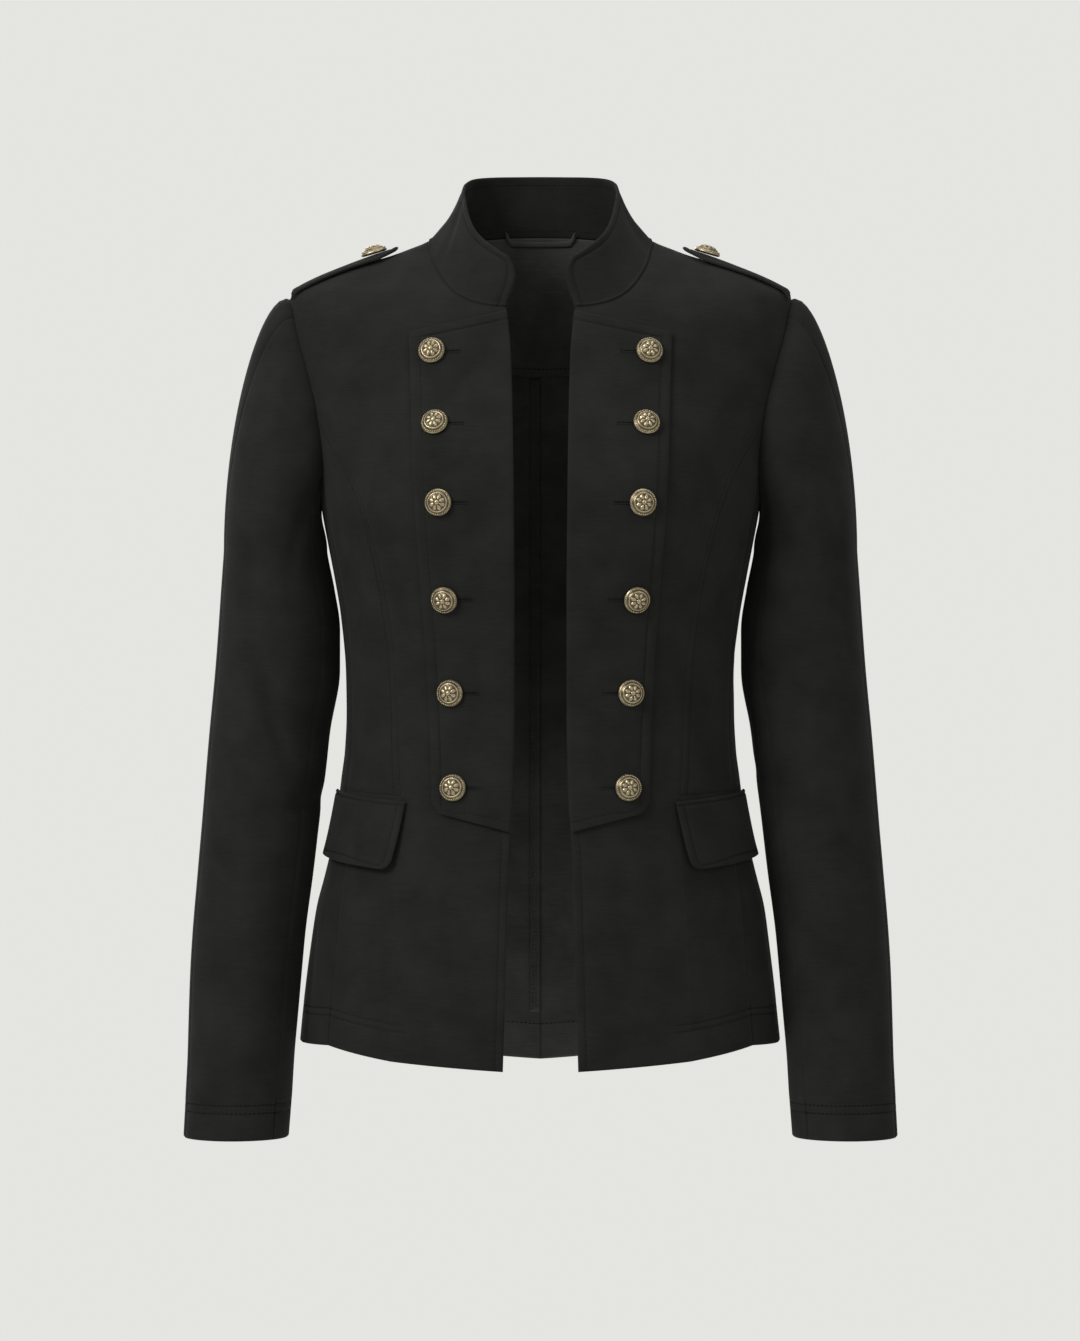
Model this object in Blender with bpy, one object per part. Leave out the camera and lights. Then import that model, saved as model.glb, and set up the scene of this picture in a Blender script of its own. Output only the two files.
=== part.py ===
"""Women's fitted stand collar blazer, worn open, as thin solid panels with open hollows.

Lengths in the tables are millimetres from the neck base, heights upward.
Left and right are the wearer's: the wearer's left is at +X, the front faces -Y.
"""
import bisect
import math

import bmesh
import bpy
import numpy as np

# Driving dimensions in millimetres
MM = 0.001
CLOTH = 1.5
HEM_FOLD = 1.3
COLLAR_CLOTH = 2.4
PLASTRON_CLOTH = 2.2
FLAP_CLOTH = 2.6
EPAULETTE_CLOTH = 2.4
FACING_CLOTH = 1.0
FACING_GAP = 1.6
SEAM_INSET = 0.16
PLASTRON_GAP = 1.7
EPAULETTE_GAP = 1.1
ROUNDNESS = 2.3
BUTTON_RADIUS = 10.0
BUTTON_SIDES = 18
POCKET_ROW = 16
NECK_ROWS = 7
BACK_ROWS = 10

# Torso sections: height, half width, depth to the front, depth to the back
BODY = [
    (-660, 186.0, 135.0, 133.0),
    (-594, 181.0, 132.0, 130.0),
    (-563, 178.0, 131.0, 128.5),
    (-530, 174.0, 129.5, 126.5),
    (-500, 169.6, 127.5, 123.0),
    (-472, 162.2, 124.5, 118.0),
    (-450, 157.0, 122.0, 113.5),
    (-426, 153.2, 119.5, 108.0),
    (-400, 150.0, 118.0, 103.0),
    (-381, 147.6, 117.3, 100.5),
    (-355, 146.5, 116.6, 98.2),
    (-321, 147.2, 117.2, 98.5),
    (-280, 151.0, 121.5, 102.5),
    (-252, 155.5, 126.5, 108.0),
    (-230, 159.5, 129.5, 112.0),
    (-200, 165.0, 130.5, 115.0),
    (-170, 169.3, 125.0, 115.0),
    (-150, 174.5, 117.5, 112.0),
    (-130, 180.0, 108.5, 106.5),
    (-100, 186.5, 96.5, 97.0),
    (-80, 189.0, 89.0, 90.0),
    (-60, 190.0, 79.5, 84.0),
    (-45, 190.5, 67.5, 79.0),
    (-39, 188.5, 61.5, 77.0),
    (-33.5, 180.0, 55.0, 75.5),
    (-27.5, 168.0, 48.5, 73.5),
    (-22, 155.0, 42.5, 72.0),
    (-17, 142.0, 36.0, 70.5),
    (-12, 127.0, 29.5, 69.0),
    (-7.5, 112.0, 23.0, 67.8),
    (-3, 100.0, 17.0, 66.7),
    (3, 85.0, 10.0, 65.0),
    (6, 80.5, 8.0, 64.4),
    (9, 76.5, 7.0, 63.5),
    (13, 72.0, 6.0, 62.0),
    (20, 68.0, 4.0, 60.0),
]
BUST = {"across": 85.0, "height": -195.0, "rise": 9.0, "wide": 42.0, "tall": 55.0}

# Collar: base across, base height, back of the shoulder or not, top across, top y, top height
COLLAR = [
    (25.5, -52.0, 0, 25.5, -71.0, -15.0),
    (36.0, -51.3, 0, 33.0, -66.0, -8.4),
    (49.0, -48.5, 0, 43.5, -55.0, 0.4),
    (62.0, -42.0, 0, 50.5, -42.0, 9.6),
    (72.0, -31.0, 0, 54.5, -28.0, 20.0),
    (80.0, -16.0, 0, 57.0, -14.0, 31.0),
    (85.0, 3.0, 0, 58.8, 2.0, 41.0),
    (80.0, 5.2, 1, 58.0, 17.0, 48.5),
    (70.0, 7.5, 1, 52.5, 31.0, 53.3),
    (57.0, 9.6, 1, 43.5, 42.0, 55.6),
    (40.0, 11.4, 1, 30.5, 50.0, 56.9),
    (20.0, 12.7, 1, 15.0, 54.8, 57.5),
    (0.0, 13.0, 1, 0.0, 56.0, 57.7),
]
SIDE_NECK = 6

# Armhole from the shoulder tip forward, under the arm and up the back: angle, height
ARMHOLE = [
    (90.0, -40.0), (79.0, -47.0), (74.4, -64.0), (67.6, -97.0), (66.0, -123.0),
    (67.6, -147.0), (74.0, -176.0), (81.0, -191.0), (90.0, -200.0), (99.0, -191.0),
    (104.0, -176.0), (109.0, -150.0), (112.0, -125.0), (110.0, -97.0), (104.0, -64.0),
    (99.0, -48.0), (90.0, -40.0),
]
ARMHOLE_PARTS = [(0, 4, 7), (4, 6, 3), (6, 10, 4), (10, 16, 10)]

# Seams down the body: height, angle from the front
PRINCESS = [
    (-620, 34.0), (-500, 35.6), (-412, 39.9), (-382, 42.3), (-334, 44.0), (-285, 45.4),
    (-247, 46.7), (-208, 48.9), (-185, 51.8), (-163, 56.4), (-145, 61.5), (-123, 66.0),
]
SIDE_PANEL_FRONT = [
    (-620, 58.2), (-557, 58.8), (-476, 63.5), (-405, 72.0), (-323, 73.4), (-250, 73.3),
    (-176, 74.0),
]
SIDE_PANEL_BACK = [
    (-620, 105.0), (-500, 106.0), (-412, 107.0), (-323, 107.0), (-250, 106.0), (-176, 104.0),
]

# Front edge: height, distance from the centre
FRONT_EDGE = [
    (-620, 27.7), (-560, 26.0), (-500, 24.4), (-447, 22.6), (-416, 20.4), (-343, 19.0),
    (-270, 19.0), (-196, 19.5), (-104, 21.2), (-70, 23.2), (-52, 25.5),
]

# Heights where each line starts, meets the pocket and ends
LINE_HEIGHTS = {
    "edge": (-52.0, -414.0, -613.0),
    "princess": (-123.0, -413.0, -607.0),
    "side_front": (-176.0, -410.0, -598.0),
    "side_back": (-176.0, -410.0, -601.0),
    "centre_back": (-60.0, -414.0, -625.0),
}
HEM_STEPS = [0.14, 0.28, 0.42, 0.56, 0.7, 0.838, 0.846, 0.92, 1.0]

# Sleeve sections: height, inner side, outer side, half depth, middle y
SLEEVE = [
    (-680, 188.4, 266.6, 39.2, -49.0),
    (-668, 187.6, 266.0, 39.5, -47.0),
    (-638, 185.4, 264.8, 40.0, -42.5),
    (-608, 183.8, 263.6, 41.0, -38.0),
    (-578, 181.4, 263.2, 42.0, -32.0),
    (-547, 178.9, 262.5, 43.0, -27.0),
    (-517, 176.3, 261.0, 44.3, -23.0),
    (-472, 170.6, 257.6, 46.0, -17.0),
    (-426, 165.4, 254.0, 48.0, -12.0),
    (-396, 161.6, 251.8, 49.5, -9.0),
    (-366, 158.4, 249.4, 51.0, -6.5),
    (-321, 153.0, 245.3, 53.5, -4.0),
    (-290, 154.6, 243.0, 55.0, -3.0),
    (-260, 159.2, 241.0, 56.5, -2.0),
    (-232, 164.8, 239.0, 58.0, -1.0),
    (-220, 166.0, 238.0, 58.0, -1.0),
]
SLEEVE_TOP = -232.0
CAP_STEPS = [0.0, 0.08, 0.2, 0.35, 0.52, 0.74, 1.0]
SLEEVE_HEIGHTS = [
    -262, -293, -325, -357, -389, -421, -453, -485, -517, -549, -580, -612, -640, -642,
    -655, -668,
]

# Round the sleeve: ring place, angle from the outer side, reach of the cap
SLEEVE_TURN = [
    (0, 0.0, 14.0), (2, 20.0, 16.0), (7, 85.0, 20.0), (10, 138.0, 12.0), (12, 180.0, 8.0),
    (14, 222.0, 12.0), (19, 282.0, 20.0), (24, 360.0, 14.0),
]
SLEEVE_OUTER_SEAM = 2
SLEEVE_INNER_SEAM = 10

# Plastron: share of its length, outer edge from the centre, height there, height at the edge
PLASTRON = [
    (0.0, 96.8, -72.0, -56.5),
    (0.14, 95.2, -107.0, -100.0),
    (0.32, 92.5, -172.0, -168.0),
    (0.5, 88.0, -240.0, -236.0),
    (0.7, 83.0, -312.0, -308.0),
    (0.9, 79.6, -388.0, -390.0),
    (1.0, 79.0, -424.5, -439.5),
]
# Buttons: distance from the centre, height, gap under the button
BUTTONS = [
    (79.5, -86.9, 0.6), (76.7, -141.5, 0.6), (73.7, -198.8, 0.3), (69.0, -268.5, 0.9),
    (65.0, -337.5, 0.6), (63.0, -406.9, 0.6),
]

# Pocket flap corners: angle and height at the top, angle and height at the bottom
FLAP = {
    "front": (37.2, -417.5, 39.4, -468.5),
    "back": (83.0, -410.0, 88.5, -459.0),
    "stand": (0.9, 4.6, 2.4),
}
EPAULETTE = {"outer": 185.5, "inner": 106.0, "half": 19.5, "lift": 4.0}
EPAULETTE_BUTTON = (124.0, -3.0)

CHARCOAL = (0.021, 0.021, 0.020, 1.0)
CHARCOAL_INSIDE = (0.014, 0.014, 0.0135, 1.0)
BRASS = (0.36, 0.29, 0.17, 1.0)


def smooth(table, column, at):
    """One column of a table at a place in its first column, without overshoot."""
    keys = [row[0] for row in table]
    values = [row[column] for row in table]
    spot = min(max(bisect.bisect_right(keys, at) - 1, 0), len(keys) - 2)

    def slope(k):
        if k <= 0 or k >= len(keys) - 1:
            k = min(max(k, 1), len(keys) - 1)
            return (values[k] - values[k - 1]) / (keys[k] - keys[k - 1])
        before = (values[k] - values[k - 1]) / (keys[k] - keys[k - 1])
        after = (values[k + 1] - values[k]) / (keys[k + 1] - keys[k])
        if before * after <= 0:
            return 0.0
        return 2 * before * after / (before + after)

    width = keys[spot + 1] - keys[spot]
    part = (at - keys[spot]) / width
    part = min(max(part, -0.5), 1.5)
    start, end = values[spot], values[spot + 1]
    lead, trail = slope(spot) * width, slope(spot + 1) * width
    square, cube = part * part, part ** 3
    return (start * (2 * cube - 3 * square + 1) + end * (3 * square - 2 * cube)
            + lead * (cube - 2 * square + part) + trail * (cube - square))


def body_point(angle, height):
    """A point on the torso's outer face, on the wearer's left."""
    turn = math.radians(angle)
    power = 2 / ROUNDNESS
    across = smooth(BODY, 1, height) * abs(math.sin(turn)) ** power
    if math.sin(turn) < 0:
        across = -across
    fall = abs(math.cos(turn)) ** power
    if math.cos(turn) < 0:
        return np.array([across, smooth(BODY, 3, height) * fall, height])
    far = (abs(across) - BUST["across"]) / BUST["wide"]
    up = (height - BUST["height"]) / BUST["tall"]
    bust = BUST["rise"] * math.exp(-far * far - up * up) * min(1.0, 2 * math.cos(turn))
    return np.array([across, -smooth(BODY, 2, height) * fall - bust, height])


def body_normal(angle, height):
    """The outward direction of the torso there."""
    round_it = body_point(angle + 0.4, height) - body_point(angle - 0.4, height)
    upward = body_point(angle, height + 0.8) - body_point(angle, height - 0.8)
    normal = np.cross(round_it, upward)
    return normal / np.linalg.norm(normal)


def angle_at(across, height, back=False):
    """The angle that puts a point this far from the centre."""
    share = min(abs(across) / smooth(BODY, 1, height), 1.0)
    angle = math.degrees(math.asin(share ** (ROUNDNESS / 2)))
    return 180 - angle if back else angle


def spread(places, count):
    """A line of angle and height pairs cut into equal lengths on the body."""
    points = [body_point(*place) for place in places]
    steps = [np.linalg.norm(b - a) for a, b in zip(points, points[1:])]
    reach = np.concatenate([[0.0], np.cumsum(steps)])
    wanted = np.linspace(0, reach[-1], count + 1)
    angles = np.interp(wanted, reach, [place[0] for place in places])
    heights = np.interp(wanted, reach, [place[1] for place in places])
    return list(zip(angles, heights))


def neck_place(row):
    """Angle and height on the neck seam at a place in the collar table."""
    numbered = [(k,) + line for k, line in enumerate(COLLAR)]
    across, height = smooth(numbered, 1, row), smooth(numbered, 2, row)
    return angle_at(across, height, row > SIDE_NECK), height


def armhole_places():
    """The armhole's points in the order of its table, in four seams."""
    numbered = [(k,) + line for k, line in enumerate(ARMHOLE)]
    ring = []
    for first, last, count in ARMHOLE_PARTS:
        rows = np.linspace(first, last, 60)
        places = [(smooth(numbered, 1, row), smooth(numbered, 2, row)) for row in rows]
        ring.append(spread(places, count))
    return ring


def line_heights(name):
    """Heights of a line's rows from its start to the hem."""
    start, pocket, hem = LINE_HEIGHTS[name]
    upper = [start + (pocket - start) * k / POCKET_ROW for k in range(POCKET_ROW + 1)]
    return upper + [pocket + (hem - pocket) * step for step in HEM_STEPS]


def seam_line(name, table):
    """A seam's angle and height at each row."""
    return [(smooth(table, 1, height), height) for height in line_heights(name)]


def front_edge_line():
    """The front edge at each row."""
    return [(angle_at(smooth(FRONT_EDGE, 1, height), height), height)
            for height in line_heights("edge")]


def between(start, end, count):
    """Places from one to another, equal lengths apart on the body."""
    shares = np.linspace(0, 1, 24)
    places = [(start[0] + (end[0] - start[0]) * s, start[1] + (end[1] - start[1]) * s)
              for s in shares]
    return spread(places, count)


def body_grid(lefts, rights, count):
    """Rows of places between two lines."""
    return [between(a, b, count) for a, b in zip(lefts, rights)]


def pushed(points, keep, inset):
    """The points with every open edge taken in a little."""
    rows, columns = keep.shape
    full = np.zeros((rows + 2, columns + 2), bool)
    full[1:-1, 1:-1] = keep
    moved = points.copy()
    for i in range(rows + 1):
        for j in range(columns + 1):
            near = full[i:i + 2, j:j + 2]
            if not near.any() or near.all():
                continue
            sideways = int(near[:, 1].sum()) - int(near[:, 0].sum())
            downward = int(near[1].sum()) - int(near[0].sum())
            for step, (di, dj) in ((sideways, (0, 1)), (downward, (1, 0))):
                if step == 0:
                    continue
                sign = 1 if step > 0 else -1
                other = points[min(max(i + di * sign, 0), rows),
                               min(max(j + dj * sign, 0), columns)]
                way = other - points[i, j]
                size = np.linalg.norm(way)
                if size > 1e-6:
                    moved[i, j] += way / size * inset
    return moved


def cloth_piece(name, colour, outer, normal, thickness, keep=None, side=1, inset=SEAM_INSET):
    """A thin closed solid from rows of outer points, their directions and thickness."""
    outer, normal = np.array(outer, float), np.array(normal, float)
    rows, columns = outer.shape[0] - 1, outer.shape[1] - 1
    if keep is None:
        keep = np.ones((rows, columns), bool)
    thick = np.broadcast_to(np.asarray(thickness, float), outer.shape[:2])
    outer = pushed(outer, keep, inset)
    inner = outer - normal * thick[:, :, None]
    mirror = np.array([side, 1, 1])
    outer, inner = outer * mirror * MM, inner * mirror * MM
    mesh = bmesh.new()
    bmesh.ops.create_grid(mesh, x_segments=columns, y_segments=rows, size=1)
    place = mesh.verts.layers.int.new("place")
    for vert in mesh.verts:
        j = round((vert.co.x + 1) / 2 * columns)
        i = round((vert.co.y + 1) / 2 * rows)
        vert[place] = i * (columns + 1) + j
    dropped = []
    for face in mesh.faces:
        spots = [vert[place] for vert in face.verts]
        i = min(spot // (columns + 1) for spot in spots)
        j = min(spot % (columns + 1) for spot in spots)
        if not keep[i, j]:
            dropped.append(face)
    bmesh.ops.delete(mesh, geom=dropped, context="FACES")
    for vert in mesh.verts:
        i, j = divmod(vert[place], columns + 1)
        vert.co = outer[i, j]
    grown = bmesh.ops.extrude_face_region(mesh, geom=mesh.faces[:], use_keep_orig=True)
    for item in grown["geom"]:
        if isinstance(item, bmesh.types.BMVert):
            i, j = divmod(item[place], columns + 1)
            item.co = inner[i, j]
    mesh.verts.layers.int.remove(place)
    mesh.normal_update()
    bmesh.ops.recalc_face_normals(mesh, faces=mesh.faces[:])
    return finish(name, colour, mesh)


def finish(name, colour, mesh, metal=0.0):
    """A named object with its own material, in the blazer's collection."""
    data = bpy.data.meshes.new(name)
    mesh.to_mesh(data)
    mesh.free()
    material = bpy.data.materials.new(name)
    material.use_nodes = True
    shader = material.node_tree.nodes["Principled BSDF"]
    shader.inputs["Base Color"].default_value = colour
    shader.inputs["Roughness"].default_value = 0.35 if metal else 0.92
    shader.inputs["Metallic"].default_value = metal
    material.diffuse_color = colour
    data.materials.append(material)
    thing = bpy.data.objects.new(name, data)
    bpy.data.collections["stand_collar_blazer"].objects.link(thing)
    return thing


def on_body(places, lift=0.0):
    """Points and directions for rows of places, moved out by a lift."""
    normals = [[body_normal(*place) for place in row] for row in places]
    points = [[body_point(*place) + n * lift for place, n in zip(row, line)]
              for row, line in zip(places, normals)]
    return np.array(points), np.array(normals)


def hem_thickness(places, hem_rows):
    """Cloth thickness with the turned hem on the last rows."""
    thick = np.full((len(places), len(places[0])), CLOTH)
    thick[-hem_rows:, :] += HEM_FOLD
    return thick


def grid_normals(points, around=False):
    """Outward directions of a grid whose rows run down and columns run forward."""
    down = np.gradient(points, axis=0)
    if around:
        wide = np.concatenate([points[:, -2:-1], points, points[:, 1:2]], axis=1)
        across = np.gradient(wide, axis=1)[:, 1:-1]
    else:
        across = np.gradient(points, axis=1)
    normal = np.cross(down, across)
    return normal / np.linalg.norm(normal, axis=2)[:, :, None]


def make_body(side, word):
    """The four body panels of one side."""
    ring = armhole_places()
    edge = front_edge_line()
    princess = seam_line("princess", PRINCESS)
    side_front = seam_line("side_front", SIDE_PANEL_FRONT)
    side_back = seam_line("side_back", SIDE_PANEL_BACK)
    centre = [(180.0, height) for height in line_heights("centre_back")]
    princess[0], side_front[0], side_back[0] = ring[1][0], ring[2][0], ring[3][0]

    rows = np.linspace(SIDE_NECK, 0, 90)
    neck = spread([neck_place(row) for row in rows], NECK_ROWS)
    edge[0] = neck[-1]
    lefts = neck[:-1] + edge
    rights = ring[0][:-1] + princess
    places = body_grid(lefts, rights, 6)
    for k, row in enumerate(places):
        below = max(k - NECK_ROWS, 0)
        row += between(row[-1], side_front[below], 3)[1:]
    points, normals = on_body(places)
    keep = np.ones((len(places) - 1, 9), bool)
    keep[:NECK_ROWS + POCKET_ROW, 6:] = False
    cloth_piece("front_" + word, CHARCOAL, points, normals,
                hem_thickness(places, 3), keep, side)

    tops = body_grid(princess[:POCKET_ROW + 1], side_front[:POCKET_ROW + 1], 3)
    tops[0] = ring[1]
    points, normals = on_body(tops)
    cloth_piece("side_front_" + word, CHARCOAL, points, normals, CLOTH, None, side)

    places = body_grid(side_front, side_back, 4)
    places[0] = ring[2]
    points, normals = on_body(places)
    cloth_piece("side_" + word, CHARCOAL, points, normals,
                hem_thickness(places, 3), None, side)

    rows = np.linspace(SIDE_NECK + 0.001, len(COLLAR) - 1, 90)
    neck = spread([neck_place(row) for row in rows], NECK_ROWS)
    start = centre[0][1]
    nape = neck[-1][1]
    drop = BACK_ROWS - NECK_ROWS
    upper = neck + [(180.0, nape + (start - nape) * k / drop) for k in range(1, drop)]
    places = body_grid(ring[3][::-1][:-1] + side_back, upper + centre, 6)
    points, normals = on_body(places)
    cloth_piece("back_" + word, CHARCOAL, points, normals,
                hem_thickness(places, 3), None, side)


def sleeve_grid():
    """Points of one whole sleeve, rows down from the armhole, columns round it."""
    ring = armhole_places()
    places = ring[0] + ring[1][1:] + ring[2][1:] + ring[3][1:]
    columns = []
    for k, place in enumerate(places):
        turn = math.radians(smooth(SLEEVE_TURN, 1, k))
        start = body_point(*place) + body_normal(*place) * 0.35

        def section(height):
            inner, outer = smooth(SLEEVE, 1, height), smooth(SLEEVE, 2, height)
            return np.array([(inner + outer) / 2 + (outer - inner) / 2 * math.cos(turn),
                             smooth(SLEEVE, 4, height) - smooth(SLEEVE, 3, height) * math.sin(turn),
                             height])

        end = section(SLEEVE_TOP)
        low = (1 - math.cos(turn)) ** 2 / 4
        lead = np.array([0.65 + 0.35 * math.cos(turn), -0.8 * math.sin(turn),
                         0.12 * max(math.cos(turn), 0) - low])
        lead *= smooth(SLEEVE_TURN, 2, k) / np.linalg.norm(lead)
        trail = np.array([0, 0, 0.55 * (start[2] - end[2])])
        column = []
        for step in CAP_STEPS:
            rest = 1 - step
            column.append(start * rest ** 3 + (start + lead) * 3 * rest * rest * step
                          + (end + trail) * 3 * rest * step * step + end * step ** 3)
        column += [section(height) for height in SLEEVE_HEIGHTS]
        columns.append(column)
    return np.array(columns).transpose(1, 0, 2)


def make_sleeves(side, word):
    """The front and back sleeve pieces of one side."""
    points = sleeve_grid()
    normals = -grid_normals(points, around=True)
    thick = np.full(points.shape[:2], CLOTH)
    thick[-3:, :] += HEM_FOLD
    a, b = SLEEVE_OUTER_SEAM, SLEEVE_INNER_SEAM
    cloth_piece("sleeve_front_" + word, CHARCOAL, points[:, a:b + 1],
                normals[:, a:b + 1], thick[:, a:b + 1], None, side)
    order = list(range(b, points.shape[1])) + list(range(1, a + 1))
    cloth_piece("sleeve_back_" + word, CHARCOAL, points[:, order],
                normals[:, order], thick[:, order], None, side)


def collar_half():
    """Rows of collar points from the front end to the nape, on the wearer's left."""
    front = spread([neck_place(row) for row in np.linspace(0, SIDE_NECK, 90)], NECK_ROWS)
    back = spread([neck_place(row) for row in
                   np.linspace(SIDE_NECK + 0.001, len(COLLAR) - 1, 90)], NECK_ROWS)
    base = [body_point(*place) for place in front + back[1:]]
    dense = [body_point(*neck_place(row)) for row in np.linspace(0, len(COLLAR) - 1, 241)]
    reach = np.concatenate([[0], np.cumsum([np.linalg.norm(b - a)
                                            for a, b in zip(dense, dense[1:])])])
    table = [(reach[20 * k],) + line for k, line in enumerate(COLLAR)]
    columns = []
    for point in base:
        spot = int(np.argmin([np.linalg.norm(point - d) for d in dense]))
        at = reach[spot]
        top = np.array([smooth(table, c, at) for c in (4, 5, 6)])
        column = []
        for share in (0.0, 0.25, 0.5, 0.78, 1.0):
            rounding = math.exp(-at / 12.0) * math.sin(math.pi * share ** 1.25)
            flare = math.sin(math.pi * share) * 3.0 * math.exp(-((at - 112) / 60) ** 2)
            spot = point + (top - point) * share
            lean = np.array([-spot[0], 0.0, 0.0]) / max(abs(spot[0]), 1e-6)
            column.append(spot + lean * (6.5 * rounding + flare)
                          + np.array([0, 0, 2.5 * rounding]))
        columns.append(column)
    return np.array(columns).transpose(1, 0, 2)


def make_collar():
    """The stand collar, round the neck in one piece."""
    left = collar_half()
    right = left[:, :-1] * np.array([-1, 1, 1])
    points = np.concatenate([right, left[:, ::-1]], axis=1)
    normals = grid_normals(points)
    normals[0, :, 2] = np.maximum(normals[0, :, 2], -0.1)
    normals /= np.linalg.norm(normals, axis=2)[:, :, None]
    return cloth_piece("collar", CHARCOAL, points, normals, COLLAR_CLOTH)


def plastron_place(share, along):
    """Angle and height on a plastron flap."""
    outer = smooth(PLASTRON, 1, along)
    edge_height = smooth(PLASTRON, 3, along)
    height = edge_height + (smooth(PLASTRON, 2, along) - edge_height) * share
    inner = smooth(FRONT_EDGE, 1, edge_height)
    across = inner + (outer - inner) * share
    return angle_at(across, height), height


def make_plastron(side, word):
    """One buttoned flap on the front."""
    shares = [0.0, 0.21, 0.42, 0.62, 0.8, 0.9, 1.0]
    alongs = list(np.linspace(0, 0.965, 15)) + [0.985, 1.0]
    places = [[plastron_place(s, a) for s in shares] for a in alongs]
    corner = plastron_place(0.955, 0.9905)
    places[-1][-1] = corner
    places[-2][-1] = plastron_place(0.992, 0.978)
    places[-1][-2] = plastron_place(0.9, 0.9985)
    points, normals = on_body(places, PLASTRON_GAP + PLASTRON_CLOTH)
    return cloth_piece("plastron_" + word, CHARCOAL, points, normals, PLASTRON_CLOTH,
                       None, side)


def make_flap(side, word):
    """One pocket flap, standing out a little at the bottom."""
    front, back = FLAP["front"], FLAP["back"]
    places, lifts = [], []
    downs = [0.0, 0.3, 0.6, 0.85, 1.0]
    acrosses = [0.0, 0.12, 0.31, 0.5, 0.69, 0.88, 1.0]
    for down in downs:
        row, lift = [], []
        for s in acrosses:
            fall = down
            if down == 1.0 and s in (0.0, 1.0):
                fall, s = 0.955, min(max(s, 0.028), 0.972)
            top = (front[0] + (back[0] - front[0]) * s, front[1] + (back[1] - front[1]) * s)
            low = (front[2] + (back[2] - front[2]) * s, front[3] + (back[3] - front[3]) * s)
            row.append((top[0] + (low[0] - top[0]) * fall, top[1] + (low[1] - top[1]) * fall))
            near, front_low, back_low = FLAP["stand"]
            lift.append(near + (front_low + (back_low - front_low) * s - near) * fall)
        places.append(row)
        lifts.append(lift)
    points, normals = on_body(places)
    points += normals * (np.array(lifts)[:, :, None] + FLAP_CLOTH)
    return cloth_piece("pocket_flap_" + word, CHARCOAL, points, normals, FLAP_CLOTH,
                       None, side)


def shoulder_place(across, y):
    """Angle and height of the point on top of the shoulder at this plan position."""
    low, high = -90.0, 14.0
    column = 3 if y > 0 else 2
    for _ in range(50):
        middle = (low + high) / 2
        reach = (across / smooth(BODY, 1, middle)) ** ROUNDNESS
        reach += (abs(y) / smooth(BODY, column, middle)) ** ROUNDNESS
        if reach > 1:
            high = middle
        else:
            low = middle
    return angle_at(across, low, y > 0), low


def epaulette_grid():
    """Outer points and directions of an epaulette."""
    outer, inner = EPAULETTE["outer"], EPAULETTE["inner"]
    places, lifts = [], []
    for along in (0.0, 0.2, 0.4, 0.6, 0.8, 0.92, 1.0):
        row, lift = [], []
        for share in (-1.0, -0.66, -0.33, 0.0, 0.33, 0.66, 1.0):
            narrow = 1.0 - 0.1 * along
            back_off = 15.0 * abs(share) ** 2.2 * max(0.0, (along - 0.8) / 0.2)
            across = outer + (inner - outer) * along + back_off
            row.append(shoulder_place(across, -EPAULETTE["half"] * narrow * share))
            lift.append(EPAULETTE_GAP + EPAULETTE["lift"] * max(0.0, along - 0.45) ** 1.4)
        places.append(row)
        lifts.append(lift)
    points, normals = on_body(places)
    return points + normals * (np.array(lifts)[:, :, None] + EPAULETTE_CLOTH), normals


def make_epaulette(side, word):
    """One shoulder strap."""
    points, normals = epaulette_grid()
    return cloth_piece("epaulette_" + word, CHARCOAL, points, normals, EPAULETTE_CLOTH,
                       None, side)


def make_button(name, centre, axis, side):
    """A domed metal button with its back on a point."""
    profile = [(0.0, 6.1), (0.42, 5.7), (0.77, 4.3), (1.0, 2.0), (1.0, 0.8), (0.92, 0.0),
               (0.0, 0.0)]
    axis = np.array(axis) * np.array([side, 1, 1])
    centre = np.array(centre) * np.array([side, 1, 1])
    across = np.cross(axis, [0.0, 0.0, 1.0])
    across /= np.linalg.norm(across)
    upward = np.cross(axis, across)
    mesh = bmesh.new()
    last = len(profile) - 1
    bmesh.ops.create_uvsphere(mesh, u_segments=BUTTON_SIDES, v_segments=last, radius=1.0)
    for vert in mesh.verts:
        ring = round(math.acos(min(max(vert.co.z, -1), 1)) / math.pi * last)
        turn = math.atan2(vert.co.y, vert.co.x)
        width, rise = profile[ring]
        way = across * math.cos(turn) + upward * math.sin(turn)
        vert.co = (centre + axis * rise + way * BUTTON_RADIUS * width) * MM
    mesh.normal_update()
    bmesh.ops.recalc_face_normals(mesh, faces=mesh.faces[:])
    return finish(name, BRASS, mesh, 1.0)


def make_buttons(side, word):
    """The six plastron buttons and the epaulette button of one side."""
    for k, (across, height, gap) in enumerate(BUTTONS):
        place = (angle_at(across, height), height)
        normal = body_normal(*place)
        base = body_point(*place) + normal * (PLASTRON_GAP + PLASTRON_CLOTH + gap)
        make_button("button_" + word + "_" + str(k + 1), base, normal, side)
    place = shoulder_place(*EPAULETTE_BUTTON)
    share = (EPAULETTE["outer"] - EPAULETTE_BUTTON[0]) / (EPAULETTE["outer"] - EPAULETTE["inner"])
    lift = EPAULETTE_GAP + EPAULETTE["lift"] * (share - 0.45) ** 1.4 + EPAULETTE_CLOTH
    normal = body_normal(*place)
    make_button("button_shoulder_" + word, body_point(*place) + normal * (lift + 0.5),
                normal, side)


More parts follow.
